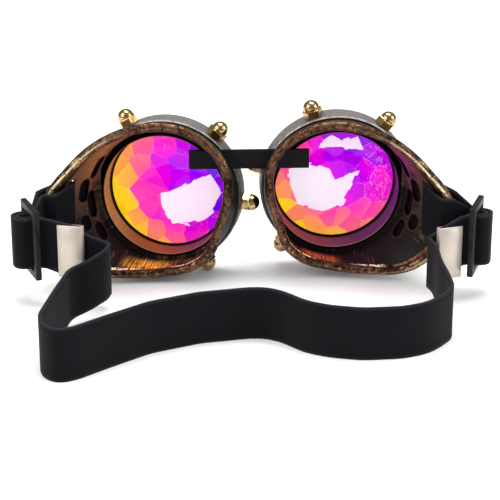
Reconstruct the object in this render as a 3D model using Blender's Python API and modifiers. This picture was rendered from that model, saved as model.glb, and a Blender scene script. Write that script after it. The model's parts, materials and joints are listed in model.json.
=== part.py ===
import math

import bmesh
import bpy
from mathutils import Euler, Matrix, Vector

# Costume goggles lying on a table, seen from the wearer's side.
# Metres. +X to the picture's right, +Y the way the goggles look, +Z up, table at z = 0.

# Clearances
FIT_GAP = 0.0003
SEAT_GAP = 0.0003
THREAD_GAP = 0.00015
SLOT_GAP = 0.0008

# Lens: the rings and the cups take their size from it
LENS_RADIUS = 0.0256
LENS_FRONT = 0.0012
GIRDLE_THICKNESS = 0.0011
TABLE_MARGIN = 0.0041
TABLE_DEPTH = 0.0004
FACET_SHARES = [0.43, 0.72]
FACET_DEPTHS = [0.00485, 0.00400]
APEX_DEPTH = 0.0051
APEX_FACETS = 8

# Gasket behind the lens
GASKET_THICKNESS = 0.0007
GASKET_OVERLAP = 0.0010
GASKET_STEPS = 48

# Lens ring, from the lens outwards
SEAT_STEP = 0.0021
RING_WALL = 0.0025
RING_DEPTH = 0.0086
RING_EDGE = 0.0005
LIP_DEPTH = 0.0008
LIP_OVERLAP = 0.0012
RING_STEPS = 60
RING_BORE = LENS_RADIUS + SEAT_GAP + SEAT_STEP
RING_RADIUS = RING_BORE + RING_WALL
LIP_RADIUS = LENS_RADIUS - LIP_OVERLAP

# Cap nuts and their screws
STUD_DEPTH = 0.0047
NUT_FLATS = 0.0070
NUT_HEX_HEIGHT = 0.0032
NUT_CHAMFER = 0.0004
NUT_BALL_RADIUS = 0.0033
NUT_BALL_HEIGHT = 0.0034
NUT_HOLE_DEPTH = 0.0040
NUT_HOLE_POINT = 0.0006
SCREW_RADIUS = 0.0020
SCREW_END_GAP = 0.0003
SCREW_CHAMFER = 0.0003
NUT_SIDES = 6
NUT_STEPS = 18
DOME_ANGLES_DEG = [16.0, 38.0, 62.0]
SCREW_STEPS = 16
# Places round each ring, from +X towards +Z
LEFT_STUDS_DEG = [119.5, 51.0, -5.5, -62.5, 180.0, 235.0]
RIGHT_STUDS_DEG = [164.3, 107.5, 52.6, 231.5, 349.0, 289.0]

# Eye cup: barrel inside the ring, shoulder behind it, wall out to the rim
BARREL_WALL = 0.0028
BORE_END_DEPTH = 0.0120
SHOULDER_STEP = 0.0016
SHOULDER_GAP = 0.0004
WALL = 0.0018
BEAD_RADIUS = 0.0019
BARREL_RADIUS = RING_BORE - FIT_GAP
SHOULDER_RADIUS = BARREL_RADIUS + SHOULDER_STEP
# How far the rim stands out beyond the shoulder, by angle from the temple towards the top
TEMPLE_REACH = 0.0152
RIM_ANGLES_DEG = [0, 25, 50, 75, 100, 125, 150, 175, 200, 225, 245, 265, 290, 320, 360]
RIM_REACH = [TEMPLE_REACH, 0.0090, 0.0061, 0.0047, 0.0048, 0.0048, 0.0040, 0.0003,
             -0.0018, 0.0010, 0.0016, 0.0013, 0.0037, 0.0116, TEMPLE_REACH]
RIM_DEPTH_NOSE = 0.0225
RIM_DEPTH_MIDDLE = 0.0229
RIM_DEPTH_TEMPLE = 0.0339
TEMPLE_RADIUS = SHOULDER_RADIUS + TEMPLE_REACH
TEMPLE_FLARE_SHARE = 1.27
CUP_STATIONS = 60
WALL_STATIONS = 6
BEAD_STEPS = 10

# Placing the two eye cups: middle of each lens ring's front plane
RINGS_Y = 0.0550
CENTRE_X = 0.0004
LEFT_NOSE_GAP = 0.0015
RIGHT_NOSE_GAP = 0.0035
LEFT_LIFT = 0.0033
RIGHT_LIFT = 0.0055
LEFT_YAW_DEG = 13.6
LEFT_PITCH_DEG = 1.7
RIGHT_YAW_DEG = -1.5
RIGHT_PITCH_DEG = 5.9
LEFT_RING_X = -RING_RADIUS - LEFT_NOSE_GAP
RIGHT_RING_X = RING_RADIUS + RIGHT_NOSE_GAP
LEFT_RING_Z = RING_RADIUS + LEFT_LIFT
RIGHT_RING_Z = RING_RADIUS + RIGHT_LIFT

# Vent recesses in the inside of the wall: angle from the temple, share of the way from shoulder
# to rim, and length round the cup
VENT_ANGLES_DEG = [26.5, 7.3, -6.5, -18.3, -30.4]
VENT_SHARES = [0.385, 0.505, 0.332, 0.550, 0.368]
VENT_LENGTHS = [0.0105, 0.0096, 0.0108, 0.0060, 0.0075]
VENT_WIDTH = 0.0046
VENT_SKIN = 0.0008
VENT_STEPS = 16
CUTTER_REACH = 0.0030

# Head strap
STRAP_WIDTH = 0.0200
STRAP_THICKNESS = 0.0013
STRAP_SLOT_SHARE = 0.72
STRAP_SLOT_ROOM = 0.0020
STRAP_SLOT_WIDTH = 0.0035
STRAP_SLOT_Z = -0.0005
STRAP_SLOT_REACH = 0.0070

# Bridge strap: its ends inside the cups, off each ring's middle, and its rise above it
LEFT_END_IN = 0.0071
RIGHT_END_IN = 0.0115
BRIDGE_RISE = 0.0168
BRIDGE_Y = -0.0190
BRIDGE_LEFT_END = LEFT_RING_X + LEFT_END_IN
BRIDGE_RIGHT_END = RIGHT_RING_X - RIGHT_END_IN
BRIDGE_Z = LEFT_RING_Z + BRIDGE_RISE
BRIDGE_HEIGHT = 0.0078
BRIDGE_THICKNESS = 0.0015
BRIDGE_EDGE = 0.0004
BRIDGE_SLOT_REACH = 0.0120

# Sliders: frame centre off the rim's temple end and below the ring's middle,
# turned about the upright so that the far side points outwards
SLIDER_TURN_DEG = 20.0
LEFT_SLIDER_OUT = 0.0099
RIGHT_SLIDER_OUT = 0.0081
LEFT_SLIDER_BACK = 0.0023
RIGHT_SLIDER_BACK = 0.0033
LEFT_SLIDER_DROP = 0.0093
RIGHT_SLIDER_DROP = 0.0125
LEFT_SLIDER = (LEFT_RING_X - TEMPLE_RADIUS - LEFT_SLIDER_OUT,
               -RIM_DEPTH_TEMPLE - LEFT_SLIDER_BACK, LEFT_RING_Z - LEFT_SLIDER_DROP)
RIGHT_SLIDER = (RIGHT_RING_X + TEMPLE_RADIUS + RIGHT_SLIDER_OUT,
                -RIM_DEPTH_TEMPLE - RIGHT_SLIDER_BACK, RIGHT_RING_Z - RIGHT_SLIDER_DROP)
SLIDER_LENGTH = 0.0190
SLIDER_THICKNESS = 0.0024
SLIDER_ROOM = 0.0026
SLIDER_SIDE_BAR = 0.0027
SLIDER_END_BAR = 0.0025
SLIDER_MID_BAR = 0.0020
SLIDER_EDGE = 0.0005
SLIDER_OPENING = STRAP_WIDTH + SLIDER_ROOM
SLIDER_HEIGHT = SLIDER_OPENING + SLIDER_SIDE_BAR * 2.0

# Strap clips
CLIP_LENGTH = 0.0100
CLIP_MARGIN = 0.0005
CLIP_SHEET = 0.0005
CLIP_GAP = 0.0002
CLIP_EDGE = 0.0002
CLIP_HEIGHT = STRAP_WIDTH + CLIP_MARGIN * 2.0

# Strap route through a slider: places off the slider's centre, outwards and towards the camera
INNER_LEG = 0.0026
OUTER_LEG = 0.0049
LEG_START = 0.0020
LEFT_FOLD_REACH = 0.0068
RIGHT_FOLD_REACH = 0.0056
FOLD_NEST = 0.0017
LEFT_FREE_END = 0.0185
RIGHT_FREE_END = 0.0140
FREE_END_OFFSET = 0.0024
FREE_END_START = 0.0050
LEFT_FREE_Z = 0.0223
RIGHT_FREE_Z = 0.0195
BEND = 0.0016
SLOT_BEND = 0.0012
SOFT_BEND = 0.0200
FOLD_BEND = 0.0020
# Where the strap stands off the cup's wall at its slot, and steps off the rim's middle line
INSIDE_STAND = 0.0046
RIM_CROSS_Z = -0.0035
LEFT_OVER_RIM = [(0.0004, 0.0034), (-0.0048, 0.0030)]
RIGHT_OVER_RIM = [(0.0004, 0.0045), (-0.0048, 0.0042)]
LEFT_BESIDE_RIM = [(0.0022, -0.0027), (0.0032, 0.0001)]
RIGHT_BESIDE_RIM = [(0.0022, -0.0027)]

# Strap route round the head: how far in from the slider, y of the middle of the band, z of its
# lower edge
LEFT_BACK_RUN = [(0.0307, -0.0464, 0.0060), (0.0294, -0.0535, 0.0060), (0.0234, -0.0592, 0.0040),
                 (0.0161, -0.0631, 0.0020), (0.0114, -0.0826, 0.0005), (0.0075, -0.1040, 0.0000)]
RIGHT_BACK_RUN = [(0.0197, -0.0445, 0.0060), (0.0179, -0.0527, 0.0060), (0.0178, -0.0649, 0.0040),
                  (0.0163, -0.0729, 0.0020), (0.0156, -0.0809, 0.0005)]
# The run nearest the camera lies on the table: share of the way out to each slider, and y
FRONT_SHARES = [-0.8877, -0.8322, -0.7650, -0.6285, -0.4653, -0.2546, -0.0405, 0.0277, 0.0935,
                0.1859, 0.2818, 0.4111, 0.5785, 0.6836, 0.7471, 0.8072]
FRONT_Y = [-0.1126, -0.1170, -0.1147, -0.1041, -0.0923, -0.0838, -0.0800, -0.0804, -0.0841, -0.0941,
           -0.0987, -0.1018, -0.1010, -0.0974, -0.0918, -0.0846]
STEP_DEG = 18.0

TAU = 2.0 * math.pi
MERGE = 0.00001
SHARP_DEG = 40.0


def clear_scene():
    for item in list(bpy.data.objects):
        bpy.data.objects.remove(item, do_unlink=True)


def new_collection(name):
    collection = bpy.data.collections.new(name)
    bpy.context.scene.collection.children.link(collection)
    return collection


clear_scene()
PARTS = new_collection("costume_goggles")
CUTTERS = new_collection("cutters")


def material(name, color, metallic, roughness):
    made = bpy.data.materials.new(name)
    made.use_nodes = True
    shader = made.node_tree.nodes["Principled BSDF"]
    shader.inputs["Base Color"].default_value = (*color, 1.0)
    shader.inputs["Metallic"].default_value = metallic
    shader.inputs["Roughness"].default_value = roughness
    return made


CUP_LOOK = ((0.16, 0.085, 0.045), 0.6, 0.45)
RING_LOOK = ((0.30, 0.27, 0.26), 0.8, 0.45)
LENS_LOOK = ((0.85, 0.25, 0.75), 0.0, 0.05)
GASKET_LOOK = ((0.02, 0.02, 0.02), 0.0, 0.8)
BRASS_LOOK = ((0.72, 0.55, 0.25), 1.0, 0.2)
STEEL_LOOK = ((0.55, 0.55, 0.55), 1.0, 0.35)
BAND_LOOK = ((0.015, 0.015, 0.017), 0.0, 0.75)
STRAP_LOOK = ((0.012, 0.012, 0.014), 0.0, 0.95)
SLIDER_LOOK = ((0.06, 0.06, 0.065), 0.0, 0.5)
CLIP_LOOK = ((0.70, 0.64, 0.55), 1.0, 0.3)


def add_object(name, mesh, collection, parent=None):
    made = bpy.data.objects.new(name, mesh)
    collection.objects.link(made)
    made.parent = parent
    if collection is CUTTERS:
        made.hide_render = True
        made.display_type = "WIRE"
    return made


def finish_mesh(name, shape):
    bmesh.ops.recalc_face_normals(shape, faces=shape.faces)
    mesh = bpy.data.meshes.new(name)
    shape.to_mesh(mesh)
    shape.free()
    return mesh


def add_piece(name, mesh, look, parent=None, smooth=True):
    made = add_object(name, mesh, PARTS, parent)
    mesh.materials.append(material(name, *look))
    mesh.polygons.foreach_set("use_smooth", [smooth] * len(mesh.polygons))
    return made


def cut(target, cutter):
    modifier = target.modifiers.new(cutter.name, "BOOLEAN")
    modifier.operation = "DIFFERENCE"
    modifier.solver = "EXACT"
    modifier.object = cutter


def bevel(target, width, segments=1):
    modifier = target.modifiers.new("edges", "BEVEL")
    modifier.width = width
    modifier.segments = segments
    modifier.limit_method = "ANGLE"
    modifier.angle_limit = math.radians(SHARP_DEG)
    return modifier


def turned(name, profile, look, steps, parent):
    # The profile is radius and depth behind the ring's front plane, down the outside first.
    shape = bmesh.new()
    verts = [shape.verts.new((radius, -depth, 0.0)) for radius, depth in profile]
    for index, vert in enumerate(verts):
        shape.edges.new((vert, verts[(index + 1) % len(verts)]))
    mesh = bpy.data.meshes.new(name)
    shape.to_mesh(mesh)
    shape.free()
    made = add_piece(name, mesh, look, parent)
    screw = made.modifiers.new("turn", "SCREW")
    screw.axis = "Y"
    screw.steps = steps
    screw.render_steps = steps
    screw.use_merge_vertices = True
    screw.merge_threshold = MERGE
    screw.use_smooth_shade = True
    return made


def loft(rows, close_start=True, close_end=True):
    # Rows of equal length become one closed skin, with a flat face at each open end.
    shape = bmesh.new()
    made = [[shape.verts.new(point) for point in row] for row in rows]
    for low, high in zip(made, made[1:]):
        for index in range(len(low)):
            after = (index + 1) % len(low)
            shape.faces.new((low[index], low[after], high[after], high[index]))
    if close_start:
        shape.faces.new(made[0])
    if close_end:
        shape.faces.new(made[-1])
    return shape


# The two cup frames: local X to the right, Y forwards along the lens axis, Z up
def cup_frame(name, x, z, yaw_deg, pitch_deg):
    frame = add_object(name, None, PARTS)
    frame.location = (CENTRE_X + x, RINGS_Y, z)
    frame.rotation_euler = (math.radians(pitch_deg), 0.0, -math.radians(yaw_deg))
    return frame


def frame_matrix(frame):
    return Matrix.Translation(frame.location) @ frame.rotation_euler.to_matrix().to_4x4()


LEFT_FRAME = cup_frame("left_cup_frame", LEFT_RING_X, LEFT_RING_Z, LEFT_YAW_DEG, LEFT_PITCH_DEG)
RIGHT_FRAME = cup_frame("right_cup_frame", RIGHT_RING_X, RIGHT_RING_Z, RIGHT_YAW_DEG, RIGHT_PITCH_DEG)


# What differs between the two sides
SIGN = {"left": -1.0, "right": 1.0}
FRAME = {"left": LEFT_FRAME, "right": RIGHT_FRAME}
STUDS_DEG = {"left": LEFT_STUDS_DEG, "right": RIGHT_STUDS_DEG}
SLIDER_PLACE = {"left": LEFT_SLIDER, "right": RIGHT_SLIDER}
BACK_RUN = {"left": LEFT_BACK_RUN, "right": RIGHT_BACK_RUN}
FOLD_REACH = {"left": LEFT_FOLD_REACH, "right": RIGHT_FOLD_REACH}
FREE_END = {"left": LEFT_FREE_END, "right": RIGHT_FREE_END}
FREE_Z = {"left": LEFT_FREE_Z, "right": RIGHT_FREE_Z}
OVER_RIM = {"left": LEFT_OVER_RIM, "right": RIGHT_OVER_RIM}
BESIDE_RIM = {"left": LEFT_BESIDE_RIM, "right": RIGHT_BESIDE_RIM}


# Depths that follow from the stack: lip, lens, gasket, barrel
GIRDLE_BACK = LENS_FRONT + GIRDLE_THICKNESS
GASKET_FRONT = GIRDLE_BACK + FIT_GAP + THREAD_GAP
BARREL_FRONT = GASKET_FRONT + GASKET_THICKNESS + FIT_GAP
SEAT_RADIUS = LENS_RADIUS + SEAT_GAP
SEAT_END = GIRDLE_BACK + THREAD_GAP
SHOULDER_DEPTH = RING_DEPTH + SHOULDER_GAP


def lens_ring(side):
    frame = FRAME[side]
    profile = [
        (RING_RADIUS - RING_EDGE, 0.0),
        (RING_RADIUS, RING_EDGE),
        (RING_RADIUS, RING_DEPTH - RING_EDGE),
        (RING_RADIUS - RING_EDGE, RING_DEPTH),
        (RING_BORE, RING_DEPTH),
        (RING_BORE, SEAT_END),
        (SEAT_RADIUS, SEAT_END),
        (SEAT_RADIUS, LIP_DEPTH),
        (LIP_RADIUS, LIP_DEPTH),
        (LIP_RADIUS, RING_EDGE),
        (LIP_RADIUS + RING_EDGE, 0.0),
    ]
    ring = turned(side + "_lens_ring", profile, RING_LOOK, RING_STEPS, frame)
    shape = bmesh.new()
    for angle in STUDS_DEG[side]:
        place = stud_matrix(angle, RING_BORE)
        bmesh.ops.create_cone(
            shape, cap_ends=True, segments=SCREW_STEPS, radius1=SCREW_RADIUS + THREAD_GAP,
            radius2=SCREW_RADIUS + THREAD_GAP, depth=CUTTER_REACH * 2.0, matrix=place)
    cut(ring, add_object(side + "_ring_holes", finish_mesh(side + "_ring_holes", shape), CUTTERS, frame))


def stud_matrix(angle_deg, radius):
    # Local Z points out of the ring at the given angle.
    turn = Euler((0.0, math.pi / 2.0 - math.radians(angle_deg), 0.0)).to_matrix().to_4x4()
    angle = math.radians(angle_deg)
    return Matrix.Translation((radius * math.cos(angle), -STUD_DEPTH, radius * math.sin(angle))) @ turn


def lens(side):
    count = APEX_FACETS * 4
    shape = bmesh.new()

    def ring(radius, depth, number):
        points = []
        for index in range(number):
            angle = TAU * index / number
            points.append(shape.verts.new((radius * math.cos(angle), -depth, radius * math.sin(angle))))
        return points

    def facets(inner, outer):
        for index in range(len(inner)):
            after = (index + 1) % len(inner)
            near = outer[2 * index]
            middle = outer[2 * index + 1]
            far = outer[(2 * index + 2) % len(outer)]
            shape.faces.new((inner[index], near, middle))
            shape.faces.new((inner[index], middle, inner[after]))
            shape.faces.new((inner[after], middle, far))

    apex = shape.verts.new((0.0, -APEX_DEPTH, 0.0))
    first = ring(LENS_RADIUS * FACET_SHARES[0], FACET_DEPTHS[0], APEX_FACETS)
    second = ring(LENS_RADIUS * FACET_SHARES[1], FACET_DEPTHS[1], APEX_FACETS * 2)
    back = ring(LENS_RADIUS, GIRDLE_BACK, count)
    front = ring(LENS_RADIUS, LENS_FRONT, count)
    table = ring(LENS_RADIUS - TABLE_MARGIN, TABLE_DEPTH, APEX_FACETS * 2)
    for index in range(APEX_FACETS):
        shape.faces.new((apex, first[index], first[(index + 1) % APEX_FACETS]))
    facets(first, second)
    facets(second, back)
    for index in range(count):
        after = (index + 1) % count
        shape.faces.new((back[index], back[after], front[after], front[index]))
    facets(table, front)
    shape.faces.new(table)
    name = side + "_lens"
    add_piece(name, finish_mesh(name, shape), LENS_LOOK, FRAME[side], smooth=False)


def gasket(side):
    outer = RING_BORE - SEAT_GAP - FIT_GAP
    inner = LENS_RADIUS - GASKET_OVERLAP
    back = GASKET_FRONT + GASKET_THICKNESS
    profile = [(outer, GASKET_FRONT), (outer, back), (inner, back), (inner, GASKET_FRONT)]
    turned(side + "_lens_gasket", profile, GASKET_LOOK, GASKET_STEPS, FRAME[side])


def circle_row(radius, height, steps):
    row = []
    for index in range(steps):
        angle = TAU * index / steps
        row.append((radius * math.cos(angle), radius * math.sin(angle), height))
    return row


def hexagon_row(flats, height, steps):
    row = []
    for index in range(steps):
        angle = TAU * index / steps
        sector = TAU / NUT_SIDES
        off = (angle % sector) - sector / 2.0
        radius = flats / 2.0 / math.cos(off)
        row.append((radius * math.cos(angle), radius * math.sin(angle), height))
    return row


def cap_nut(side, number, angle):
    hole = SCREW_RADIUS + THREAD_GAP
    rows = [
        circle_row(hole, NUT_HOLE_DEPTH, NUT_STEPS),
        circle_row(hole, 0.0, NUT_STEPS),
        circle_row(NUT_FLATS / 2.0, 0.0, NUT_STEPS),
        hexagon_row(NUT_FLATS, NUT_CHAMFER, NUT_STEPS),
        hexagon_row(NUT_FLATS, NUT_HEX_HEIGHT - NUT_CHAMFER, NUT_STEPS),
        circle_row(NUT_BALL_RADIUS, NUT_HEX_HEIGHT, NUT_STEPS),
    ]
    for dome in DOME_ANGLES_DEG:
        radius = NUT_BALL_RADIUS * math.cos(math.radians(dome))
        height = NUT_BALL_HEIGHT + NUT_BALL_RADIUS * math.sin(math.radians(dome))
        rows.append(circle_row(radius, height, NUT_STEPS))
    shape = loft(rows, close_start=False, close_end=False)
    shape.verts.ensure_lookup_table()
    tops = [(shape.verts[:NUT_STEPS], NUT_HOLE_DEPTH + NUT_HOLE_POINT),
            (shape.verts[-NUT_STEPS:], NUT_BALL_HEIGHT + NUT_BALL_RADIUS)]
    for row, height in tops:
        tip = shape.verts.new((0.0, 0.0, height))
        for index in range(NUT_STEPS):
            shape.faces.new((tip, row[index], row[(index + 1) % NUT_STEPS]))
    bmesh.ops.transform(shape, matrix=stud_matrix(angle, RING_RADIUS + FIT_GAP), verts=shape.verts)
    name = f"{side}_cap_nut_{number}"
    add_piece(name, finish_mesh(name, shape), BRASS_LOOK, FRAME[side])


def ring_screw(side, number, angle):
    start = RING_BORE + SCREW_CHAMFER / 2.0
    end = RING_RADIUS + FIT_GAP + NUT_HOLE_DEPTH - SCREW_END_GAP
    length = end - start
    rows = [
        circle_row(SCREW_RADIUS - SCREW_CHAMFER, 0.0, SCREW_STEPS),
        circle_row(SCREW_RADIUS, SCREW_CHAMFER, SCREW_STEPS),
        circle_row(SCREW_RADIUS, length - SCREW_CHAMFER, SCREW_STEPS),
        circle_row(SCREW_RADIUS - SCREW_CHAMFER, length, SCREW_STEPS),
    ]
    shape = loft(rows)
    bmesh.ops.transform(shape, matrix=stud_matrix(angle, start), verts=shape.verts)
    name = f"{side}_ring_screw_{number}"
    add_piece(name, finish_mesh(name, shape), STEEL_LOOK, FRAME[side])


# The cup's wall
def periodic(angle_deg, knots, values):
    # Smooth closed curve through the values, slopes taken from the neighbours on each side.
    angle = angle_deg % 360.0
    last = len(knots) - 1
    spot = next(index for index in range(last) if knots[index] <= angle <= knots[index + 1])

    def knot(index):
        turns, rest = divmod(index, last)
        return knots[rest] + 360.0 * turns

    def value(index):
        return values[index % last]

    def slope(index):
        return (value(index + 1) - value(index - 1)) / (knot(index + 1) - knot(index - 1))

    span = knots[spot + 1] - knots[spot]
    share = (angle - knots[spot]) / span
    square = share * share
    cube = square * share
    return ((2.0 * cube - 3.0 * square + 1.0) * value(spot)
            + (cube - 2.0 * square + share) * span * slope(spot)
            + (3.0 * square - 2.0 * cube) * value(spot + 1)
            + (cube - square) * span * slope(spot + 1))


def rim_centre(angle_deg):
    across = math.cos(math.radians(angle_deg))
    radius = SHOULDER_RADIUS + periodic(angle_deg, RIM_ANGLES_DEG, RIM_REACH) - BEAD_RADIUS
    half = (RIM_DEPTH_TEMPLE - RIM_DEPTH_NOSE) / 2.0
    mean = (RIM_DEPTH_TEMPLE + RIM_DEPTH_NOSE) / 2.0
    depth = RIM_DEPTH_MIDDLE + half * across + (mean - RIM_DEPTH_MIDDLE) * across * across
    return radius, depth


def wall_middle(angle_deg, share):
    # Middle of the wall and how it runs on towards the rim, both as radius and depth.
    rim_radius, rim_depth = rim_centre(angle_deg)
    start = SHOULDER_RADIUS - WALL / 2.0
    temple = (1.0 + math.cos(math.radians(angle_deg))) / 2.0
    flare = 1.0 + TEMPLE_FLARE_SHARE * temple * temple
    radius = start + (rim_radius - start) * share ** flare
    depth = SHOULDER_DEPTH + (rim_depth - SHOULDER_DEPTH) * share
    along = Vector(((rim_radius - start) * flare * share ** (flare - 1.0), rim_depth - SHOULDER_DEPTH))
    return Vector((radius, depth)), along


def wall_out(along):
    # Square to the wall, away from the lens axis.
    return Vector((along.y, -along.x)).normalized()


def wall_face(angle_deg, share, off):
    middle, along = wall_middle(angle_deg, share)
    return middle + wall_out(along) * off


def cup_section(angle_deg):
    rim_depth = rim_centre(angle_deg)[1]
    reach = math.sqrt(BEAD_RADIUS ** 2 - (WALL / 2.0) ** 2)
    last_share = 1.0 - reach / wall_middle(angle_deg, 1.0)[1].length
    inner_start = (BORE_END_DEPTH - SHOULDER_DEPTH) / (rim_depth - SHOULDER_DEPTH)
    outer, inner, bead = [], [], []
    for index in range(1, WALL_STATIONS + 1):
        part = index / WALL_STATIONS
        outer.append(wall_face(angle_deg, last_share * part, WALL / 2.0))
        inner.append(wall_face(angle_deg, inner_start + (last_share - inner_start) * part, -WALL / 2.0))
    middle, along = wall_middle(angle_deg, last_share)
    along = along.normalized()
    out = wall_out(along)
    centre = middle + along * reach
    first = math.atan2(-reach, WALL / 2.0)
    last = math.pi - first
    for index in range(1, BEAD_STEPS):
        angle = first + (last - first) * index / BEAD_STEPS
        bead.append(centre + out * BEAD_RADIUS * math.cos(angle) + along * BEAD_RADIUS * math.sin(angle))
    corner = wall_middle(angle_deg, inner_start)[0].x - WALL / 2.0
    bore = BARREL_RADIUS - BARREL_WALL
    section = [(BARREL_RADIUS, BARREL_FRONT), (BARREL_RADIUS, SHOULDER_DEPTH),
               (SHOULDER_RADIUS, SHOULDER_DEPTH)]
    section += [tuple(point) for point in outer]
    section += [tuple(point) for point in bead]
    section += [tuple(point) for point in reversed(inner)]
    section += [(corner, BORE_END_DEPTH), (bore, BORE_END_DEPTH), (bore, BARREL_FRONT)]
    return section


def cup_point(sign, angle_deg, radius, depth):
    angle = math.radians(angle_deg)
    return Vector((sign * radius * math.cos(angle), -depth, radius * math.sin(angle)))


def vent_cutter(sign, angle_deg, share, length):
    # A long hole from the inside of the wall that stops at the skin left on the outside.
    middle, along = wall_middle(angle_deg, share)
    along = along.normalized()
    out = wall_out(along)
    here = cup_point(sign, angle_deg, middle.x, middle.y)
    length_dir = cup_point(sign, angle_deg, along.x, along.y)
    out_dir = cup_point(sign, angle_deg, out.x, out.y)
    round_dir = length_dir.cross(out_dir)
    basis = Matrix((round_dir, length_dir, out_dir)).transposed().to_4x4()
    centre = here + out_dir * (WALL / 2.0 - VENT_SKIN - CUTTER_REACH)
    shape = bmesh.new()
    bmesh.ops.create_cone(shape, cap_ends=True, segments=VENT_STEPS, radius1=VENT_WIDTH / 2.0,
                          radius2=VENT_WIDTH / 2.0, depth=CUTTER_REACH * 2.0)
    half = (length - VENT_WIDTH) / 2.0
    for vert in shape.verts:
        vert.co.x += half if vert.co.x > 0.0 else -half
    bmesh.ops.transform(shape, matrix=Matrix.Translation(centre) @ basis, verts=shape.verts)
    return shape


def box_shape(size, place):
    shape = bmesh.new()
    bmesh.ops.create_cube(shape, size=1.0)
    bmesh.ops.scale(shape, vec=size, verts=shape.verts)
    bmesh.ops.transform(shape, matrix=place, verts=shape.verts)
    return shape


def eye_cup(side):
    sign = SIGN[side]
    frame = FRAME[side]
    rows = []
    for station in range(CUP_STATIONS):
        angle_deg = 360.0 * station / CUP_STATIONS
        rows.append([cup_point(sign, angle_deg, *point) for point in cup_section(angle_deg)])
    rows.append(rows[0])
    shape = loft(rows, close_start=False, close_end=False)
    bmesh.ops.remove_doubles(shape, verts=shape.verts, dist=MERGE)
    cup = add_piece(side + "_eye_cup", finish_mesh(side + "_eye_cup", shape), CUP_LOOK, frame)
    vents = zip(VENT_ANGLES_DEG, VENT_SHARES, VENT_LENGTHS)
    for number, (angle_deg, share, length) in enumerate(vents, 1):
        name = f"{side}_vent_{number}"
        mesh = finish_mesh(name, vent_cutter(sign, angle_deg, share, length))
        cut(cup, add_object(name, mesh, CUTTERS, frame))
    middle, along = wall_middle(0.0, STRAP_SLOT_SHARE)
    turn = math.atan2(along.x, along.y)
    place = Matrix.Translation((sign * middle.x, -middle.y, STRAP_SLOT_Z)) \
        @ Matrix.Rotation(sign * turn, 4, "Z")
    name = side + "_strap_slot"
    shape = box_shape((STRAP_SLOT_REACH * 2.0, STRAP_SLOT_WIDTH, STRAP_WIDTH + STRAP_SLOT_ROOM), place)
    cut(cup, add_object(name, finish_mesh(name, shape), CUTTERS, frame))
    name = side + "_bridge_slot"
    size = (BRIDGE_SLOT_REACH * 2.0, BRIDGE_THICKNESS + SLOT_GAP, BRIDGE_HEIGHT + SLOT_GAP)
    shape = box_shape(size, Matrix.Translation((nose_wall_x(side), RINGS_Y + BRIDGE_Y, BRIDGE_Z)))
    cut(cup, add_object(name, finish_mesh(name, shape), CUTTERS))


def nose_wall_x(side):
    # World x where the bridge strap's middle line meets the cup's nose-side wall.
    ring = FRAME[side].location
    height = BRIDGE_Z - ring.z
    return ring.x - SIGN[side] * math.sqrt(SHOULDER_RADIUS ** 2 - height ** 2)


def bridge_strap():
    middle = (BRIDGE_LEFT_END + BRIDGE_RIGHT_END) / 2.0
    size = (BRIDGE_RIGHT_END - BRIDGE_LEFT_END, BRIDGE_THICKNESS, BRIDGE_HEIGHT)
    place = Matrix.Translation((CENTRE_X + middle, RINGS_Y + BRIDGE_Y, BRIDGE_Z))
    made = add_piece("bridge_strap", finish_mesh("bridge_strap", box_shape(size, place)), BAND_LOOK,
                     smooth=False)
    bevel(made, BRIDGE_EDGE)


# The slider frames
def slider_axes(side):
    sign = SIGN[side]
    turn = math.radians(SLIDER_TURN_DEG)
    outward = Vector((sign * math.cos(turn), -math.sin(turn), 0.0))
    toward = Vector((-sign * math.sin(turn), -math.cos(turn), 0.0))
    x, y, z = SLIDER_PLACE[side]
    return Vector((CENTRE_X + x, RINGS_Y + y, z)), outward, toward


def frame_basis(centre, outward, toward):
    basis = Matrix((outward, toward, Vector((0.0, 0.0, 1.0)))).transposed().to_4x4()
    return Matrix.Translation(centre) @ basis


def slider(side):
    centre, outward, toward = slider_axes(side)
    carrier = add_object(side + "_slider_frame", None, PARTS)
    carrier.location = centre
    place = frame_basis(Vector(), outward, toward)
    name = side + "_slider"
    shape = box_shape((SLIDER_THICKNESS, SLIDER_LENGTH, SLIDER_HEIGHT), place)
    made = add_piece(name, finish_mesh(name, shape), SLIDER_LOOK, carrier, smooth=False)
    bevel(made, SLIDER_EDGE, 2)
    width = (SLIDER_LENGTH - SLIDER_MID_BAR) / 2.0 - SLIDER_END_BAR
    offset = (SLIDER_MID_BAR + width) / 2.0
    size = (SLIDER_THICKNESS * 2.0, width, SLIDER_OPENING)
    for label, shift in (("near", offset), ("far", -offset)):
        opening = f"{side}_{label}_opening"
        shape = box_shape(size, place @ Matrix.Translation((0.0, shift, 0.0)))
        cut(made, add_object(opening, finish_mesh(opening, shape), CUTTERS, carrier))


# The head strap's route
def plan_point(side, out_by, toward_by):
    centre, outward, toward = slider_axes(side)
    return centre + outward * out_by + toward * toward_by


def cup_world(side, radius, depth, height):
    return frame_matrix(FRAME[side]) @ Vector((SIGN[side] * radius, -depth, height))


def back_point(side, place):
    inward, y, z = place
    x = SLIDER_PLACE[side][0] - SIGN[side] * inward
    return Vector((CENTRE_X + x, RINGS_Y + y, z + STRAP_WIDTH / 2.0))


def front_point(share, y):
    x = abs(share) * SLIDER_PLACE["left" if share < 0.0 else "right"][0]
    return Vector((CENTRE_X + x, RINGS_Y + y, STRAP_WIDTH / 2.0))


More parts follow.
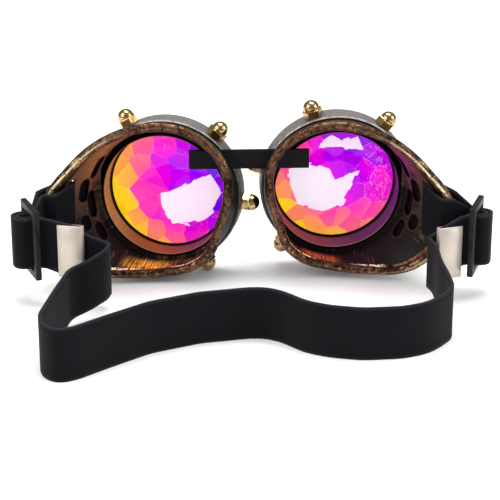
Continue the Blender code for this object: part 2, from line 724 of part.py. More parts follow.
def end_route(side):
    # From the fold nearest the nose, through slider and cup, to the free end: point, bend radius.
    reach = FOLD_REACH[side]
    fold = back_point(side, BACK_RUN[side][0])
    start = plan_point(side, -LEG_START, INNER_LEG)
    along = Vector((fold.x - start.x, fold.y - start.y, 0.0)).normalized()
    across = Vector((-along.y, along.x, 0.0))
    if across.y > 0.0:
        across = -across
    rim = Vector(rim_centre(0.0))
    inside = wall_face(0.0, STRAP_SLOT_SHARE, -INSIDE_STAND)
    outside = wall_face(0.0, STRAP_SLOT_SHARE, WALL / 2.0 + FIT_GAP + STRAP_THICKNESS / 2.0)
    over = [rim + Vector(step) for step in OVER_RIM[side]]
    beside = [rim + Vector(step) for step in BESIDE_RIM[side]]
    tip_z = Vector((0.0, 0.0, FREE_Z[side] - start.z))
    into_cup = [(cup_world(side, point.x, point.y, RIM_CROSS_Z), BEND) for point in over]
    out_of_cup = [(cup_world(side, point.x, point.y, RIM_CROSS_Z), BEND) for point in beside]
    return [
        (fold, FOLD_BEND),
        (start, BEND),
        (plan_point(side, reach - FOLD_NEST, INNER_LEG), INNER_LEG),
        (plan_point(side, reach - FOLD_NEST, -INNER_LEG), INNER_LEG),
        (plan_point(side, -LEG_START, -INNER_LEG), BEND),
        *into_cup,
        (cup_world(side, inside.x, inside.y, STRAP_SLOT_Z), BEND),
        (cup_world(side, outside.x, outside.y, STRAP_SLOT_Z), SLOT_BEND),
        *out_of_cup,
        (plan_point(side, -LEG_START, -OUTER_LEG), BEND),
        (plan_point(side, reach, -OUTER_LEG), OUTER_LEG),
        (plan_point(side, reach, OUTER_LEG), OUTER_LEG),
        (plan_point(side, -LEG_START / 2.0, OUTER_LEG), BEND),
        (start + along * FREE_END_START + across * FREE_END_OFFSET, BEND),
        (start + along * FREE_END[side] + across * FREE_END_OFFSET + tip_z, 0.0),
    ]


def rounded_route(corners):
    # Corners of a plan route become short steps round their bends, with z shared out between.
    places = [corner for corner, bend in corners]
    points = [places[0].copy()]
    for index in range(1, len(corners) - 1):
        here, bend = corners[index]
        before = places[index - 1] - here
        after = places[index + 1] - here
        flat_before = Vector((before.x, before.y))
        flat_after = Vector((after.x, after.y))
        turn = math.pi - flat_before.angle(flat_after)
        room = min(flat_before.length, flat_after.length) / 2.0
        tangent = min(bend * math.tan(turn / 2.0), room)
        start = here + before * (tangent / flat_before.length)
        end = here + after * (tangent / flat_after.length)
        steps = max(1, round(math.degrees(turn) / STEP_DEG))
        radius = tangent / math.tan(turn / 2.0)
        bisector = (flat_before.normalized() + flat_after.normalized()).normalized()
        centre = Vector((here.x, here.y)) + bisector * math.hypot(radius, tangent)
        arm = Vector((start.x, start.y)) - centre
        sense = 1.0 if flat_before.x * flat_after.y - flat_before.y * flat_after.x < 0.0 else -1.0
        for step in range(steps + 1):
            share = step / steps
            angle = sense * turn * share
            spot = Vector((arm.x * math.cos(angle) - arm.y * math.sin(angle),
                           arm.x * math.sin(angle) + arm.y * math.cos(angle))) + centre
            points.append(Vector((spot.x, spot.y, start.z + (end.z - start.z) * share)))
    points.append(places[-1].copy())
    spaced = points[:1]
    for point in points[1:]:
        if (point - spaced[-1]).length > MERGE:
            spaced.append(point)
    return spaced


def head_strap():
    half = STRAP_WIDTH / 2.0
    left = end_route("left")
    right = end_route("right")
    corners = list(reversed(left))
    corners += [(back_point("left", place), SOFT_BEND) for place in LEFT_BACK_RUN[1:]]
    corners += [(front_point(share, y), SOFT_BEND) for share, y in zip(FRONT_SHARES, FRONT_Y)]
    corners += [(back_point("right", place), SOFT_BEND) for place in reversed(RIGHT_BACK_RUN[1:])]
    corners += right
    points = rounded_route(corners)
    shape = bmesh.new()
    low = [shape.verts.new((point.x, point.y, point.z - half)) for point in points]
    edges = [shape.edges.new(pair) for pair in zip(low, low[1:])]
    raised = bmesh.ops.extrude_edge_only(shape, edges=edges)["geom"]
    tops = [item for item in raised if isinstance(item, bmesh.types.BMVert)]
    bmesh.ops.translate(shape, vec=(0.0, 0.0, STRAP_WIDTH), verts=tops)
    mesh = bpy.data.meshes.new("head_strap")
    shape.to_mesh(mesh)
    shape.free()
    made = add_piece("head_strap", mesh, STRAP_LOOK)
    solid = made.modifiers.new("thickness", "SOLIDIFY")
    solid.thickness = STRAP_THICKNESS
    solid.offset = 0.0
    solid.use_even_offset = True


def strap_clip(side):
    route = end_route(side)
    tip = route[-1][0]
    before = route[-2][0]
    along = Vector((tip.x - before.x, tip.y - before.y, 0.0)).normalized()
    across = Vector((-along.y, along.x, 0.0))
    room = STRAP_THICKNESS + CLIP_GAP * 2.0
    outer = room + CLIP_SHEET * 2.0
    middle = tip + along * (FIT_GAP + CLIP_SHEET - CLIP_LENGTH / 2.0)
    place = frame_basis(middle, along, across)
    name = side + "_strap_clip"
    shape = box_shape((CLIP_LENGTH, outer, CLIP_HEIGHT), place)
    made = add_piece(name, finish_mesh(name, shape), CLIP_LOOK, smooth=False)
    bevel(made, CLIP_EDGE)
    hollow = box_shape((CLIP_LENGTH, room, CLIP_HEIGHT * 2.0),
                       place @ Matrix.Translation((-CLIP_SHEET, 0.0, 0.0)))
    cut(made, add_object(name + "_hollow", finish_mesh(name + "_hollow", hollow), CUTTERS))


for side_name, stud_angles in STUDS_DEG.items():
    eye_cup(side_name)
    lens_ring(side_name)
    lens(side_name)
    gasket(side_name)
    for stud_number, stud_angle in enumerate(stud_angles, 1):
        cap_nut(side_name, stud_number, stud_angle)
        ring_screw(side_name, stud_number, stud_angle)
    slider(side_name)
    strap_clip(side_name)
bridge_strap()
head_strap()
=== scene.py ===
# %% [markdown]
# # Costume goggles, dressed
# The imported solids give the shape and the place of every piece. This notebook gives them the looks
# of the photograph: dry-brushed copper cups, pewter rings, brass cap nuts, colour-shifting faceted
# lenses and black elastic.

import json
import math
from functools import reduce
from itertools import accumulate

import bmesh
import bpy
from mathutils import Euler, Matrix, Vector

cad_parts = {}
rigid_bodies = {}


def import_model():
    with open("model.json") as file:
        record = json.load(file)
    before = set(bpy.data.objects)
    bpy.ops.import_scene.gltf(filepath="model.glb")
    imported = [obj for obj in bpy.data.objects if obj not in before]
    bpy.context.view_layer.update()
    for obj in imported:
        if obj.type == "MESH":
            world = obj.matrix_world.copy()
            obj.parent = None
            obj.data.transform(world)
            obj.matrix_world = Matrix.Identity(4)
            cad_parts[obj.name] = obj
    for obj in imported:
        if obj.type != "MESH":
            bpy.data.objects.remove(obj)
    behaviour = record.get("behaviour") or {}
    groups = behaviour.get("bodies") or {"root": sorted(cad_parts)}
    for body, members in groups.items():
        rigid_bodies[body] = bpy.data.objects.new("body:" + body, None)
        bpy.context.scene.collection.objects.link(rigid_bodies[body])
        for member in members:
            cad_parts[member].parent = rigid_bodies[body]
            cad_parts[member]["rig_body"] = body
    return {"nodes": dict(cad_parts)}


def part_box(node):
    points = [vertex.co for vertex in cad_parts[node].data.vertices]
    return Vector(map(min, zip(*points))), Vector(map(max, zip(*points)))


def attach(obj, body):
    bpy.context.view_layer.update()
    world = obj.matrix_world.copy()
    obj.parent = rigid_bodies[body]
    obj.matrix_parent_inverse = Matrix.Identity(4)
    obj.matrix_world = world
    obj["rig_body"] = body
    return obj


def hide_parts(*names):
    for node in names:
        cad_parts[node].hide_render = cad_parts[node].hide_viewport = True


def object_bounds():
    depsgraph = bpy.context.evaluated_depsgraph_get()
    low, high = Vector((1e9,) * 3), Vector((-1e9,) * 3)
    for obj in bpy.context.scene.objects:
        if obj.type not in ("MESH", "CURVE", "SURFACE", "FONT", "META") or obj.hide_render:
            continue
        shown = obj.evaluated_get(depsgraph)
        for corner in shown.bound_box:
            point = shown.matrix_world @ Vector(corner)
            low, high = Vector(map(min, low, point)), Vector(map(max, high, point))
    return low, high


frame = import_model()
nodes = frame["nodes"]
size_at_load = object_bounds()
print("solids:", len(nodes), "box:", [[round(v, 4) for v in corner] for corner in size_at_load])

# %% [markdown]
# The goggles lie on a table with the wearer's side to the camera. The camera stands 0.70 m away,
# 20 degrees up and a little left of straight on. The long lens keeps the two cups as even in size
# as they are in the photograph. The camera and the lamps are all turned to one place, at the foot
# of the cups.

# %% Camera
AIM = Vector((0.0004, 0.055, 0.00548))
CAMERA_AWAY = 0.70
CAMERA_AZIMUTH = math.radians(-2.5)
CAMERA_RISE = math.radians(20.0)
SENSOR = 36.0
FOCAL = 121.97
NEAREST = 0.01


def add_object(name, data):
    made = bpy.data.objects.new(name, data)
    bpy.context.scene.collection.objects.link(made)
    return made


toward_camera = Vector((math.sin(CAMERA_AZIMUTH) * math.cos(CAMERA_RISE),
                        -math.cos(CAMERA_AZIMUTH) * math.cos(CAMERA_RISE), math.sin(CAMERA_RISE)))
camera = add_object("camera", bpy.data.cameras.new("camera"))
camera.location = AIM + toward_camera * CAMERA_AWAY
camera.rotation_euler = toward_camera.to_track_quat("Z", "Y").to_euler()
camera.data.sensor_width = SENSOR
camera.data.lens = FOCAL
camera.data.clip_start = NEAREST
bpy.context.scene.camera = camera
bpy.context.scene.view_settings.view_transform = "Standard"
print("camera at", [round(v, 4) for v in camera.location])

# %% [markdown]
# Shader maths is written with plain signs. One small class wraps a socket, so that `1 - mask` or
# `wear * 0.5` adds the math node that does it, and a long formula stays one line to read.

# %% Sockets with plain signs
class Field:
    def __init__(self, tree, socket):
        self.tree = tree
        self.socket = socket

    @staticmethod
    def plug(tree, target, value):
        if isinstance(value, Field):
            tree.links.new(value.socket, target)
        else:
            target.default_value = value

    def sum_up(self, operation, *values):
        node = self.tree.nodes.new("ShaderNodeMath")
        node.operation = operation
        for target, value in zip(node.inputs, values):
            Field.plug(self.tree, target, value)
        return Field(self.tree, node.outputs[0])

    def __add__(self, other):
        return self.sum_up("ADD", self, other)

    def __radd__(self, other):
        return self.sum_up("ADD", other, self)

    def __sub__(self, other):
        return self.sum_up("SUBTRACT", self, other)

    def __rsub__(self, other):
        return self.sum_up("SUBTRACT", other, self)

    def __mul__(self, other):
        return self.sum_up("MULTIPLY", self, other)

    def __rmul__(self, other):
        return self.sum_up("MULTIPLY", other, self)

    def __truediv__(self, other):
        return self.sum_up("DIVIDE", self, other)

    def __rtruediv__(self, other):
        return self.sum_up("DIVIDE", other, self)

    def __pow__(self, other):
        return self.sum_up("POWER", self, other)

    def __gt__(self, other):
        return self.sum_up("GREATER_THAN", self, other)

    def __lt__(self, other):
        return self.sum_up("LESS_THAN", self, other)

    def sine(self):
        return self.sum_up("SINE", self)

    def cosine(self):
        return self.sum_up("COSINE", self)

    def floor(self):
        return self.sum_up("FLOOR", self)

    def size(self):
        return self.sum_up("ABSOLUTE", self)

    def most(self, other):
        return self.sum_up("MAXIMUM", self, other)

    def least(self, other):
        return self.sum_up("MINIMUM", self, other)

    def turned_from(self, other):
        return self.sum_up("ARCTAN2", self, other)


def hypotenuse(across, up):
    return (across * across + up * up) ** 0.5


def rgb(red, green, blue):
    return (red, green, blue, 1.0)


print("signs that add a node:", "+ - * / ** > <")

# %% [markdown]
# A recipe is one material. Its `node` method adds every node that isn't plain maths, and the short
# methods after it name the nodes that the finishes use most. What is the same all over a surface
# is set on the shader when the recipe is made.

# %% Recipes for materials
class Recipe:
    def __init__(self, name, **uniform):
        self.material = bpy.data.materials.new(name)
        self.material.use_nodes = True
        self.tree = self.material.node_tree
        self.shader = self.tree.nodes["Principled BSDF"]
        for key, value in uniform.items():
            self.shader.inputs[key.replace("_", " ").title().replace("Ior", "IOR")].default_value = value

    def node(self, kind, output, settings=None, numbered=None, **named):
        # The settings come first, with a ramp's stops among them. Where two sockets of a node
        # share a name, their values are given by number.
        made = self.tree.nodes.new("ShaderNode" + kind)
        for key, value in (settings or {}).items():
            if key == "stops":
                self.set_stops(made.color_ramp.elements, value)
            else:
                setattr(made, key, value)
        values = dict(numbered or {})
        values.update({key.replace("_", " "): value for key, value in named.items()})
        for key, value in values.items():
            Field.plug(self.tree, made.inputs[key], value)
        return Field(self.tree, made.outputs[output])

    @staticmethod
    def set_stops(elements, stops):
        while len(elements) < len(stops):
            elements.new(0.5)
        for element, (position, colour) in zip(elements, stops):
            element.position = position
            element.color = colour

    def place(self):
        return self.node("TexCoord", "Object")

    def attribute(self, name):
        return self.node("Attribute", "Fac", {"attribute_name": name})

    def parts(self, vector):
        first = self.node("SeparateXYZ", "X", Vector=vector)
        return [Field(self.tree, socket) for socket in first.socket.node.outputs]

    def vector(self, x, y, z):
        return self.node("CombineXYZ", "Vector", X=x, Y=y, Z=z)

    def noise(self, vector, scale, detail, rough):
        return self.node("TexNoise", 0, Vector=vector, Scale=scale, Detail=detail, Roughness=rough)

    def step(self, field, low, high):
        return self.node("MapRange", "Result", {"interpolation_type": "SMOOTHSTEP"}, Value=field,
                         From_Min=low, From_Max=high)

    def mix(self, share, first, second):
        return self.node("Mix", 2, {"data_type": "RGBA"}, {0: share, 6: first, 7: second})

    def bump(self, height, distance, strength):
        return self.node("Bump", "Normal", Height=height, Distance=distance, Strength=strength)

    def set(self, **values):
        for key, value in values.items():
            Field.plug(self.tree, self.shader.inputs[key.replace("_", " ")], value)
        return self.material


print("nodes with a short name:", "place, attribute, parts, vector, noise, step, mix and bump")

# %% [markdown]
# Each cup has its own frame: x to the right, y forwards along the lens axis and z up, with the
# middle of the lens ring's front plane at zero. The looks are drawn in that frame, as an angle
# round the lens axis, a radius and a depth behind the ring's front. A pattern drawn this way
# follows the turned shape, and stays on the cup in every view.

# %% Cup frames
CUP_PLACE = {"left": Vector((-0.0316, 0.055, 0.0338)), "right": Vector((0.0344, 0.055, 0.0360))}
CUP_TURN = {"left": Euler((math.radians(1.7), 0.0, math.radians(-13.6))),
            "right": Euler((math.radians(5.9), 0.0, math.radians(1.5)))}
SIGN = {"left": -1.0, "right": 1.0}


def cup_matrix(side):
    return Matrix.Translation(CUP_PLACE[side]) @ CUP_TURN[side].to_matrix().to_4x4()


def in_cup(look, side):
    return look.node("Mapping", "Vector", {"vector_type": "TEXTURE"}, Vector=look.place(),
                     Location=CUP_PLACE[side], Rotation=CUP_TURN[side])


class CupFrame:
    def __init__(self, look, side):
        self.look = look
        self.here = in_cup(look, side)
        x, y, self.up = look.parts(self.here)
        self.out = x * SIGN[side]
        self.depth = y * -1.0
        self.radius = hypotenuse(self.out, self.up)
        self.angle = self.up.turned_from(self.out)

    def streaks(self, turning, deep, outward, detail, rough):
        # Noise with so many spots per radian round the axis, per metre of depth and of radius
        spots = self.look.vector(self.angle * turning, self.depth * deep, self.radius * outward)
        return self.look.noise(spots, 1.0, detail, rough)


print("left cup's lens axis:", [round(v, 4) for v in cup_matrix("left").to_3x3() @ Vector((0, 1, 0))])

# %% [markdown]
# Five round-ended vents are sunk into the temple half of each cup's wall, at the same places on
# both cups. Each has a middle line and a frame of its own. They are used twice: a black band is
# drawn round them, and later the cup's faces inside them are made black.

# %% Vents
# For each vent: angle, radius, depth, slope of the wall and length round the cup, in degrees and metres
VENTS = [(26.5, 0.02940, 0.01795, 13.49, 0.0105), (7.3, 0.03119, 0.02151, 26.73, 0.0096),
         (-6.5, 0.02958, 0.01723, 17.95, 0.0108), (-18.3, 0.03203, 0.02225, 31.18, 0.0060),
         (-30.4, 0.02988, 0.01738, 20.39, 0.0075)]
VENT_WIDTH = 0.0046


def vent_frame(side, vent):
    angle, radius, depth, slope, length = vent
    turn = math.radians(angle)
    lean = math.radians(slope)

    def spoke(out, back):
        return Vector((SIGN[side] * out * math.cos(turn), -back, out * math.sin(turn)))

    along = spoke(math.sin(lean), math.cos(lean))
    out = spoke(math.cos(lean), -math.sin(lean))
    return spoke(radius, depth), along.cross(out), along, out, (length - VENT_WIDTH) / 2


def beside_vents(look, here, side):
    # How far a point of the wall is from the nearest vent's middle line
    def off(middle, way):
        dot = look.node("VectorMath", "Value", {"operation": "DOT_PRODUCT"}, {0: here, 1: way})
        return dot - middle.dot(way)

    gaps = []
    for vent in VENTS:
        middle, round_way, along, _, half = vent_frame(side, vent)
        past_end = (off(middle, round_way).size() - half).most(0.0)
        gaps.append(hypotenuse(past_end, off(middle, along)))
    return reduce(Field.least, gaps)


print("vents on each cup:", len(VENTS))

# %% [markdown]
# The moulded cups are black plastic with copper paint brushed over it. The brush runs from the
# lens out to the rim, so the black shows between fine streaks. Noise that is drawn out along the
# brush's way makes such streaks at any scale. First come the parts of a cup that its looks depend
# on, most of them as masks from 0 to 1.

# %% Parts of a cup
BORE_END = 0.0120
BORE_RADIUS = 0.0249
BARREL_RADIUS = 0.0285
# The rim's depth behind the ring's front: over the lens's middle, and what is added across the cup
RIM_DEPTH = 0.0229
RIM_TILT = 0.0057
RIM_CURVE = 0.0053
VENT_EDGE = 0.0007


class CupParts(CupFrame):
    def __init__(self, look, side):
        super().__init__(look, side)
        across = self.out / self.radius
        self.behind = self.depth - (across * RIM_TILT + across * across * RIM_CURVE + RIM_DEPTH)
        self.within = look.attribute("within")

        # The rim's bead and the wall, the temple and nose ends, the foot, and the wall by the bead
        self.rim = look.step(self.behind, -0.0023, -0.0014)
        self.wall = 1 - self.rim
        self.temple = look.step(self.out, 0.010, 0.036)
        self.nose = look.step(self.out * -1.0, 0.012, 0.022)
        self.low = look.step(self.up * -1.0, 0.004, 0.020)
        self.near_rim = look.step(self.behind, -0.0085, -0.0015)

        # The black band round each vent, and the scratched wall from the vents down, with painted shade
        self.vent_gap = beside_vents(look, self.here, side) - VENT_WIDTH / 2
        self.vent_black_band = look.step(self.vent_gap, VENT_EDGE, 0.0004) * self.within * self.wall
        self.scratched_and_shaded = look.step(self.angle, 0.34, -0.06) * look.step(self.angle, -1.30, -0.85) * self.within

        # The barrel's bore, a painted highlight low on its end's edge, and painted shadow on the step
        # outside
        in_bore = self.depth < BORE_END + 0.0006
        self.bore = look.step(self.radius, BORE_RADIUS + 0.00022, BORE_RADIUS + 0.00012) * in_bore
        self.end_step = (1 - self.bore) * look.step(self.depth, BORE_END + 0.0004, BORE_END + 0.0001)
        self.end_step = self.end_step * (self.radius < BARREL_RADIUS)
        shadow_width = look.step(self.up + self.out * 0.15, 0.004, 0.018) * 0.0022 + 0.0009
        self.black = look.step(self.radius - shadow_width, BORE_RADIUS + 0.0004, BORE_RADIUS)
        self.black = self.end_step * self.black
        self.edge = look.step(self.radius, BORE_RADIUS + 0.00045, BORE_RADIUS + 0.00030)
        self.edge = self.edge * (self.depth > BORE_END - 0.0003) * in_bore * self.low


print("depth of the rim, nose and temple, mm:",
      [round((RIM_DEPTH + RIM_TILT * way + RIM_CURVE) * 1000, 1) for way in (-1, 1)])

# %% [markdown]
# The brush's streaks run from the lens outwards on the wall and along the bead on the rim. Wide
# streaks carry the paint, hairs break them up, and a slow patchiness makes some places fuller than
# others.

# %% Brush streaks
class Brush:
    def __init__(self, look, at):
        self.wall = at.streaks(52.0, 50.0, 40.0, 6.0, 0.62)
        self.hair = at.streaks(230.0, 120.0, 90.0, 5.0, 0.7)
        self.rim = at.streaks(16.0, 650.0, 650.0, 6.0, 0.62)
        self.speck = at.streaks(42.0, 800.0, 800.0, 3.0, 0.6)
        self.patch = look.noise(at.here, 110.0, 4.0, 0.6)
        self.grain = look.noise(at.here, 1300.0, 4.0, 0.65)
        self.wall_cover = self.wall * 0.55 + self.hair * 0.45 + (self.patch - 0.5) * 0.55
        self.rim_cover = self.rim * 0.75 + self.grain * 0.25 + (self.patch - 0.5) * 0.40
        self.rim_paint = look.step(self.speck * 0.75 + self.grain * 0.25, 0.40, 0.47)
        self.tone = look.step(self.hair * 0.60 + self.wall * 0.25 + self.patch * 0.15, 0.36, 0.64)


print("brush streaks ready")

# %% [markdown]
# Nearly all of the upper wall is painted, and about half of the lower. The bead stands proud and
# takes the most paint, down to a gold gleam on its crest. A painted highlight lies on the bead in a
# thin line at the temple and in a broken one along the foot. The wall by the vents is scratched,
# and painted shade darkens it later.

# %% Cover of the paint
# The painted highlight along the foot, in two stretches: the middle of each and how far it reaches
FOOT_HIGHLIGHT = {"left": [(0.0150, 0.0110), (-0.0120, 0.0085)], "right": [(0.0120, 0.0080), (-0.0150, 0.0070)]}
WALL_GLEAM = {"left": 0.65, "right": 0.60}


class Cover:
    def __init__(self, look, at, brush, side):
        # How bare the wall is left, and from it where paint lies
        bare = 0.34 + (1 - at.within) * (at.nose * 0.22 + 0.05) + at.low * 0.16
        bare = bare - at.near_rim * 0.05 * (1 - at.low) + look.step(at.radius, 0.0335, 0.0280) * 0.05
        bare = bare + at.scratched_and_shaded * 0.085 + at.low * look.step(at.out, 0.012, 0.021) * 0.05
        if side == "right":
            bare = bare + at.within * (0.055 + at.low * 0.030)
        wall_paint = look.step(brush.wall_cover, bare - 0.05, bare + 0.06)
        self.paint = wall_paint * at.wall + brush.rim_paint * at.rim

        # Painted highlights: a bright line at the temple, and two stretches along the foot, inside the
        # bead on the temple side of the foot and on its top on the nose side
        self.line = look.step(at.behind, 0.00174, 0.00190) * at.temple * (1 - at.low * 0.7)
        self.line = self.line * look.step(brush.speck, 0.30, 0.50)
        first, second = [look.step((at.out - place).size(), reach, reach * 0.5)
                         for place, reach in FOOT_HIGHLIGHT[side]]
        bead_inside = look.step(at.behind, -0.0024, -0.0020) * look.step(at.behind, -0.0004, -0.0010)
        bead_top = look.step(at.behind, -0.0010, -0.0006) * look.step(at.behind, 0.0007, 0.0002)
        self.wear_and_painted_light = (first * bead_inside).most(second * bead_top) * at.low * at.within
        self.wear_and_painted_light = self.wear_and_painted_light * look.step(brush.speck * 0.6 + brush.grain * 0.4, 0.45, 0.52)

        # Gold on the wall and on the bead
        wall_gleam = look.step(brush.wall_cover + at.near_rim * at.low * 0.11, 0.58, 0.70)
        scratch = look.step(brush.hair, 0.60, 0.70).most(look.step(brush.grain, 0.62, 0.72)) * at.scratched_and_shaded
        wall_gleam = (wall_gleam * at.low * WALL_GLEAM[side]).most(scratch * 0.6)
        crest = look.step(at.behind, 0.0002, 0.0011) * at.temple.most(at.low * 0.6)
        rim_gleam = look.step(brush.rim_cover + crest * 0.12, 0.64, 0.78).most(self.line).most(self.wear_and_painted_light)
        self.gleam = wall_gleam * at.wall + rim_gleam * at.rim


print("worn stretches on each foot:", len(FOOT_HIGHLIGHT["left"]))

# %% [markdown]
# The paint is bronze on the upper wall, olive at the temple and brown on the bead. Low on the wall,
# where the lens's light falls, that light is painted in as ember red. The right cup's wall is
# dimmer and redder. Gold lies where the paint gleams.

# %% Colours of the paint
def painted_skin(look, at, brush, cover, side):
    plastic = look.mix(brush.patch, rgb(0.003, 0.002, 0.002), rgb(0.012, 0.008, 0.006))
    bronze = look.mix(brush.tone, rgb(0.045, 0.027, 0.015), rgb(0.270, 0.160, 0.092))
    olive = look.mix(brush.tone, rgb(0.024, 0.016, 0.009), rgb(0.160, 0.105, 0.058))
    brown = look.mix(look.step(brush.rim_cover, 0.36, 0.68), rgb(0.016, 0.008, 0.005),
                     rgb(0.275, 0.134, 0.072))
    lens_lit_red = look.mix(brush.patch, rgb(0.22, 0.040, 0.008), rgb(0.80, 0.240, 0.030))
    gold = look.mix(brush.grain, rgb(0.36, 0.205, 0.085), rgb(0.95, 0.68, 0.34))
    if side == "right":
        dim = look.mix(look.step(brush.wall, 0.28, 0.72), rgb(0.018, 0.019, 0.018),
                       rgb(0.190, 0.078, 0.060))
        bronze = look.mix(at.within, bronze, dim)
    # Painted light: the lens's light on the foot of the wall, in ember red
    lit_foot = at.low * look.step(at.near_rim, 0.1, 0.6) * look.step(at.out, 0.026, 0.010)
    wall = look.mix(lit_foot, look.mix(at.temple, bronze, olive), lens_lit_red)
    skin = look.mix(at.rim, wall, brown)
    # Painted shade: the wall from the vents down is darkened
    skin = look.mix(at.scratched_and_shaded * at.wall * 0.55, skin, rgb(0.030, 0.024, 0.019))
    skin = look.mix(cover.paint, plastic, look.mix(cover.gleam, skin, gold))
    # Painted highlights in cream: the bright line on the bead at the temple and the line along the foot
    skin = look.mix((cover.line * at.rim).most(cover.wear_and_painted_light), skin, rgb(1.0, 0.84, 0.56))
    halo = look.step((at.vent_gap - VENT_EDGE).size(), 0.0003, 0.0001) * at.within * brush.grain * at.wall
    skin = look.mix(halo, skin, olive)
    # A near-black band round each vent makes the vents look wider
    return look.mix(at.vent_black_band, skin, rgb(0.004, 0.003, 0.003))


print("paint colours ready")

# %% [markdown]
# The barrel inside and the wall beside it catch the lens's light, orange and purple. A lamp behind
# each lens would also light the table, so the light is given as a tint of the paint and as a
# little light of its own. Its one bright spot lies low on the wall.

# %% The lens's light in a cup
# The spot: how it fades in and out across the cup, how it fades in with depth, and its two colours
SPOT = {"left": ((-0.008, 0.002), (0.0175, 0.0110), (-0.0110, -0.0060),
                 (rgb(0.22, 0.020, 0.002), rgb(1.0, 0.42, 0.05))),
        "right": ((-0.015, -0.011), (0.003, -0.003), (-0.0085, -0.0050),
                  (rgb(0.14, 0.008, 0.005), rgb(0.65, 0.120, 0.03)))}


def lens_light(look, at, side):
    # The tint on the wall beside the lens, and the tint in the bore
    if side == "left":
        glow = look.mix(look.step(at.out, -0.016, 0.010), rgb(0.160, 0.050, 0.045),
                        rgb(0.420, 0.190, 0.085))
        temple_side = look.mix(look.step(at.out, 0.022, 0.012), rgb(0.620, 0.270, 0.110),
                               rgb(0.520, 0.140, 0.030))
        hollow = look.mix(look.step(at.out, -0.014, 0.008), rgb(0.300, 0.060, 0.075), temple_side)
    else:
        glow = look.mix(look.step(at.up, -0.006, 0.012), rgb(0.020, 0.024, 0.025),
                        rgb(0.230, 0.055, 0.100))
        hollow = look.mix(look.step(at.out, -0.018, 0.014), rgb(0.420, 0.050, 0.110),
                          rgb(0.120, 0.018, 0.160))
    return glow, hollow


def skin_with_painted_light(look, at, brush, cover, skin, glow, hollow):
    beside = look.step(at.radius, 0.0390, 0.0275) * at.wall * (1 - at.low * 0.85) * at.within
    beside = beside * (1 - at.scratched_and_shaded * 0.85) * (1 - at.vent_black_band)
    skin = look.mix(beside * cover.paint * 0.55, skin, glow)
    shaded = look.mix(0.62, hollow, rgb(0.060, 0.055, 0.065))
    hollow = look.mix(look.step(brush.wall_cover, 0.38, 0.64) * 0.6, shaded, hollow)
    skin = look.mix(at.bore, skin, hollow)
    # Painted shadow: the step round the bore's end is near black, wider towards the top
    skin = look.mix(at.black, skin, rgb(0.002, 0.002, 0.002))
    # Painted highlight on the lower edge round the bore's end
    skin = look.mix(at.edge * 0.7, skin, rgb(0.46, 0.26, 0.19))
    # Painted shade in the crease where the bead leaves the wall
    crease_shade = look.step((at.behind + 0.0019).size(), 0.0007, 0.0002) * (0.35 + brush.patch)
    return look.mix(crease_shade * (1 - at.end_step) * (1 - cover.wear_and_painted_light), skin, rgb(0.006, 0.004, 0.003))


def own_light(look, at, brush, cover, hollow, side):
    fade_in, fade_out, deep, colours = SPOT[side]
    spot = look.step(at.out, *fade_in) * look.step(at.out, *fade_out) * at.low * at.within * at.wall
    spot = spot * look.step(at.behind, *deep) * (1 - at.bore) * (1 - at.end_step)
    spot = spot * look.step(brush.wall_cover, 0.40, 0.53)
    shine = look.mix(spot, rgb(0.0, 0.0, 0.0), look.mix(look.step(brush.hair, 0.44, 0.60), *colours))
    # The foot's painted highlight also shines with a little light of its own
    shine = look.mix(cover.wear_and_painted_light * 0.45, shine, rgb(1.0, 0.80, 0.50))
    return look.mix(at.bore * (0.085 + brush.wall * 0.125), shine, hollow)


print("lens light ready")

# %% [markdown]
# The fields above now make one paint for each cup. Thick paint is smoother and more metallic than
# the plastic, and the streaks stand up a little. The vents' insides get a plain rough black.

# %% Cup and vent finishes
def cup_finish(side):
    look = Recipe(side + "_cup_paint", specular_ior_level=0.22, emission_strength=1.20)
    at = CupParts(look, side)
    brush = Brush(look, at)
    cover = Cover(look, at, brush, side)
    glow, hollow = lens_light(look, at, side)
    skin = painted_skin(look, at, brush, cover, side)
    skin = skin_with_painted_light(look, at, brush, cover, skin, glow, hollow)
    metal = (cover.paint * (0.85 - at.within * at.wall * (1 - cover.gleam) * 0.43)).most(at.black)
    rough = 0.56 - cover.paint * 0.18 - cover.gleam * 0.10 + (brush.grain - 0.5) * 0.20
    relief = brush.wall * at.wall * 0.6 + brush.rim * at.rim * 0.4 + brush.grain * 0.2
    relief = relief + brush.rim_paint * at.rim * 0.3
    return look.set(Base_Color=skin, Metallic=metal, Roughness=rough,
                    Emission_Color=own_light(look, at, brush, cover, hollow, side),
                    Normal=look.bump(relief, 0.00030, 0.45))


def vent_finish():
    look = Recipe("vent_black", specular_ior_level=0.3)
    speck = look.noise(look.place(), 900.0, 3.0, 0.6)
    skin = look.mix(speck, rgb(0.003, 0.003, 0.003), rgb(0.014, 0.010, 0.008))
    return look.set(Base_Color=skin, Metallic=0.7 + speck * 0.3, Roughness=0.55 + speck * 0.25,
                    Normal=look.bump(speck, 0.0001, 0.4))


CUP_FINISH = {side: cup_finish(side) for side in SIGN}
VENT_FINISH = vent_finish()
print("cup nodes:", len(CUP_FINISH["left"].node_tree.nodes))

# %% [markdown]
# The lens rings are pewter-painted plastic, rubbed bright along the band and left black behind.
# Short scratches run across the band and round it. They are streaks too, but with their long side
# along the axis or round it.

# %% Ring finish
RING_RADIUS = 0.0305
RING_DEPTH = 0.0086


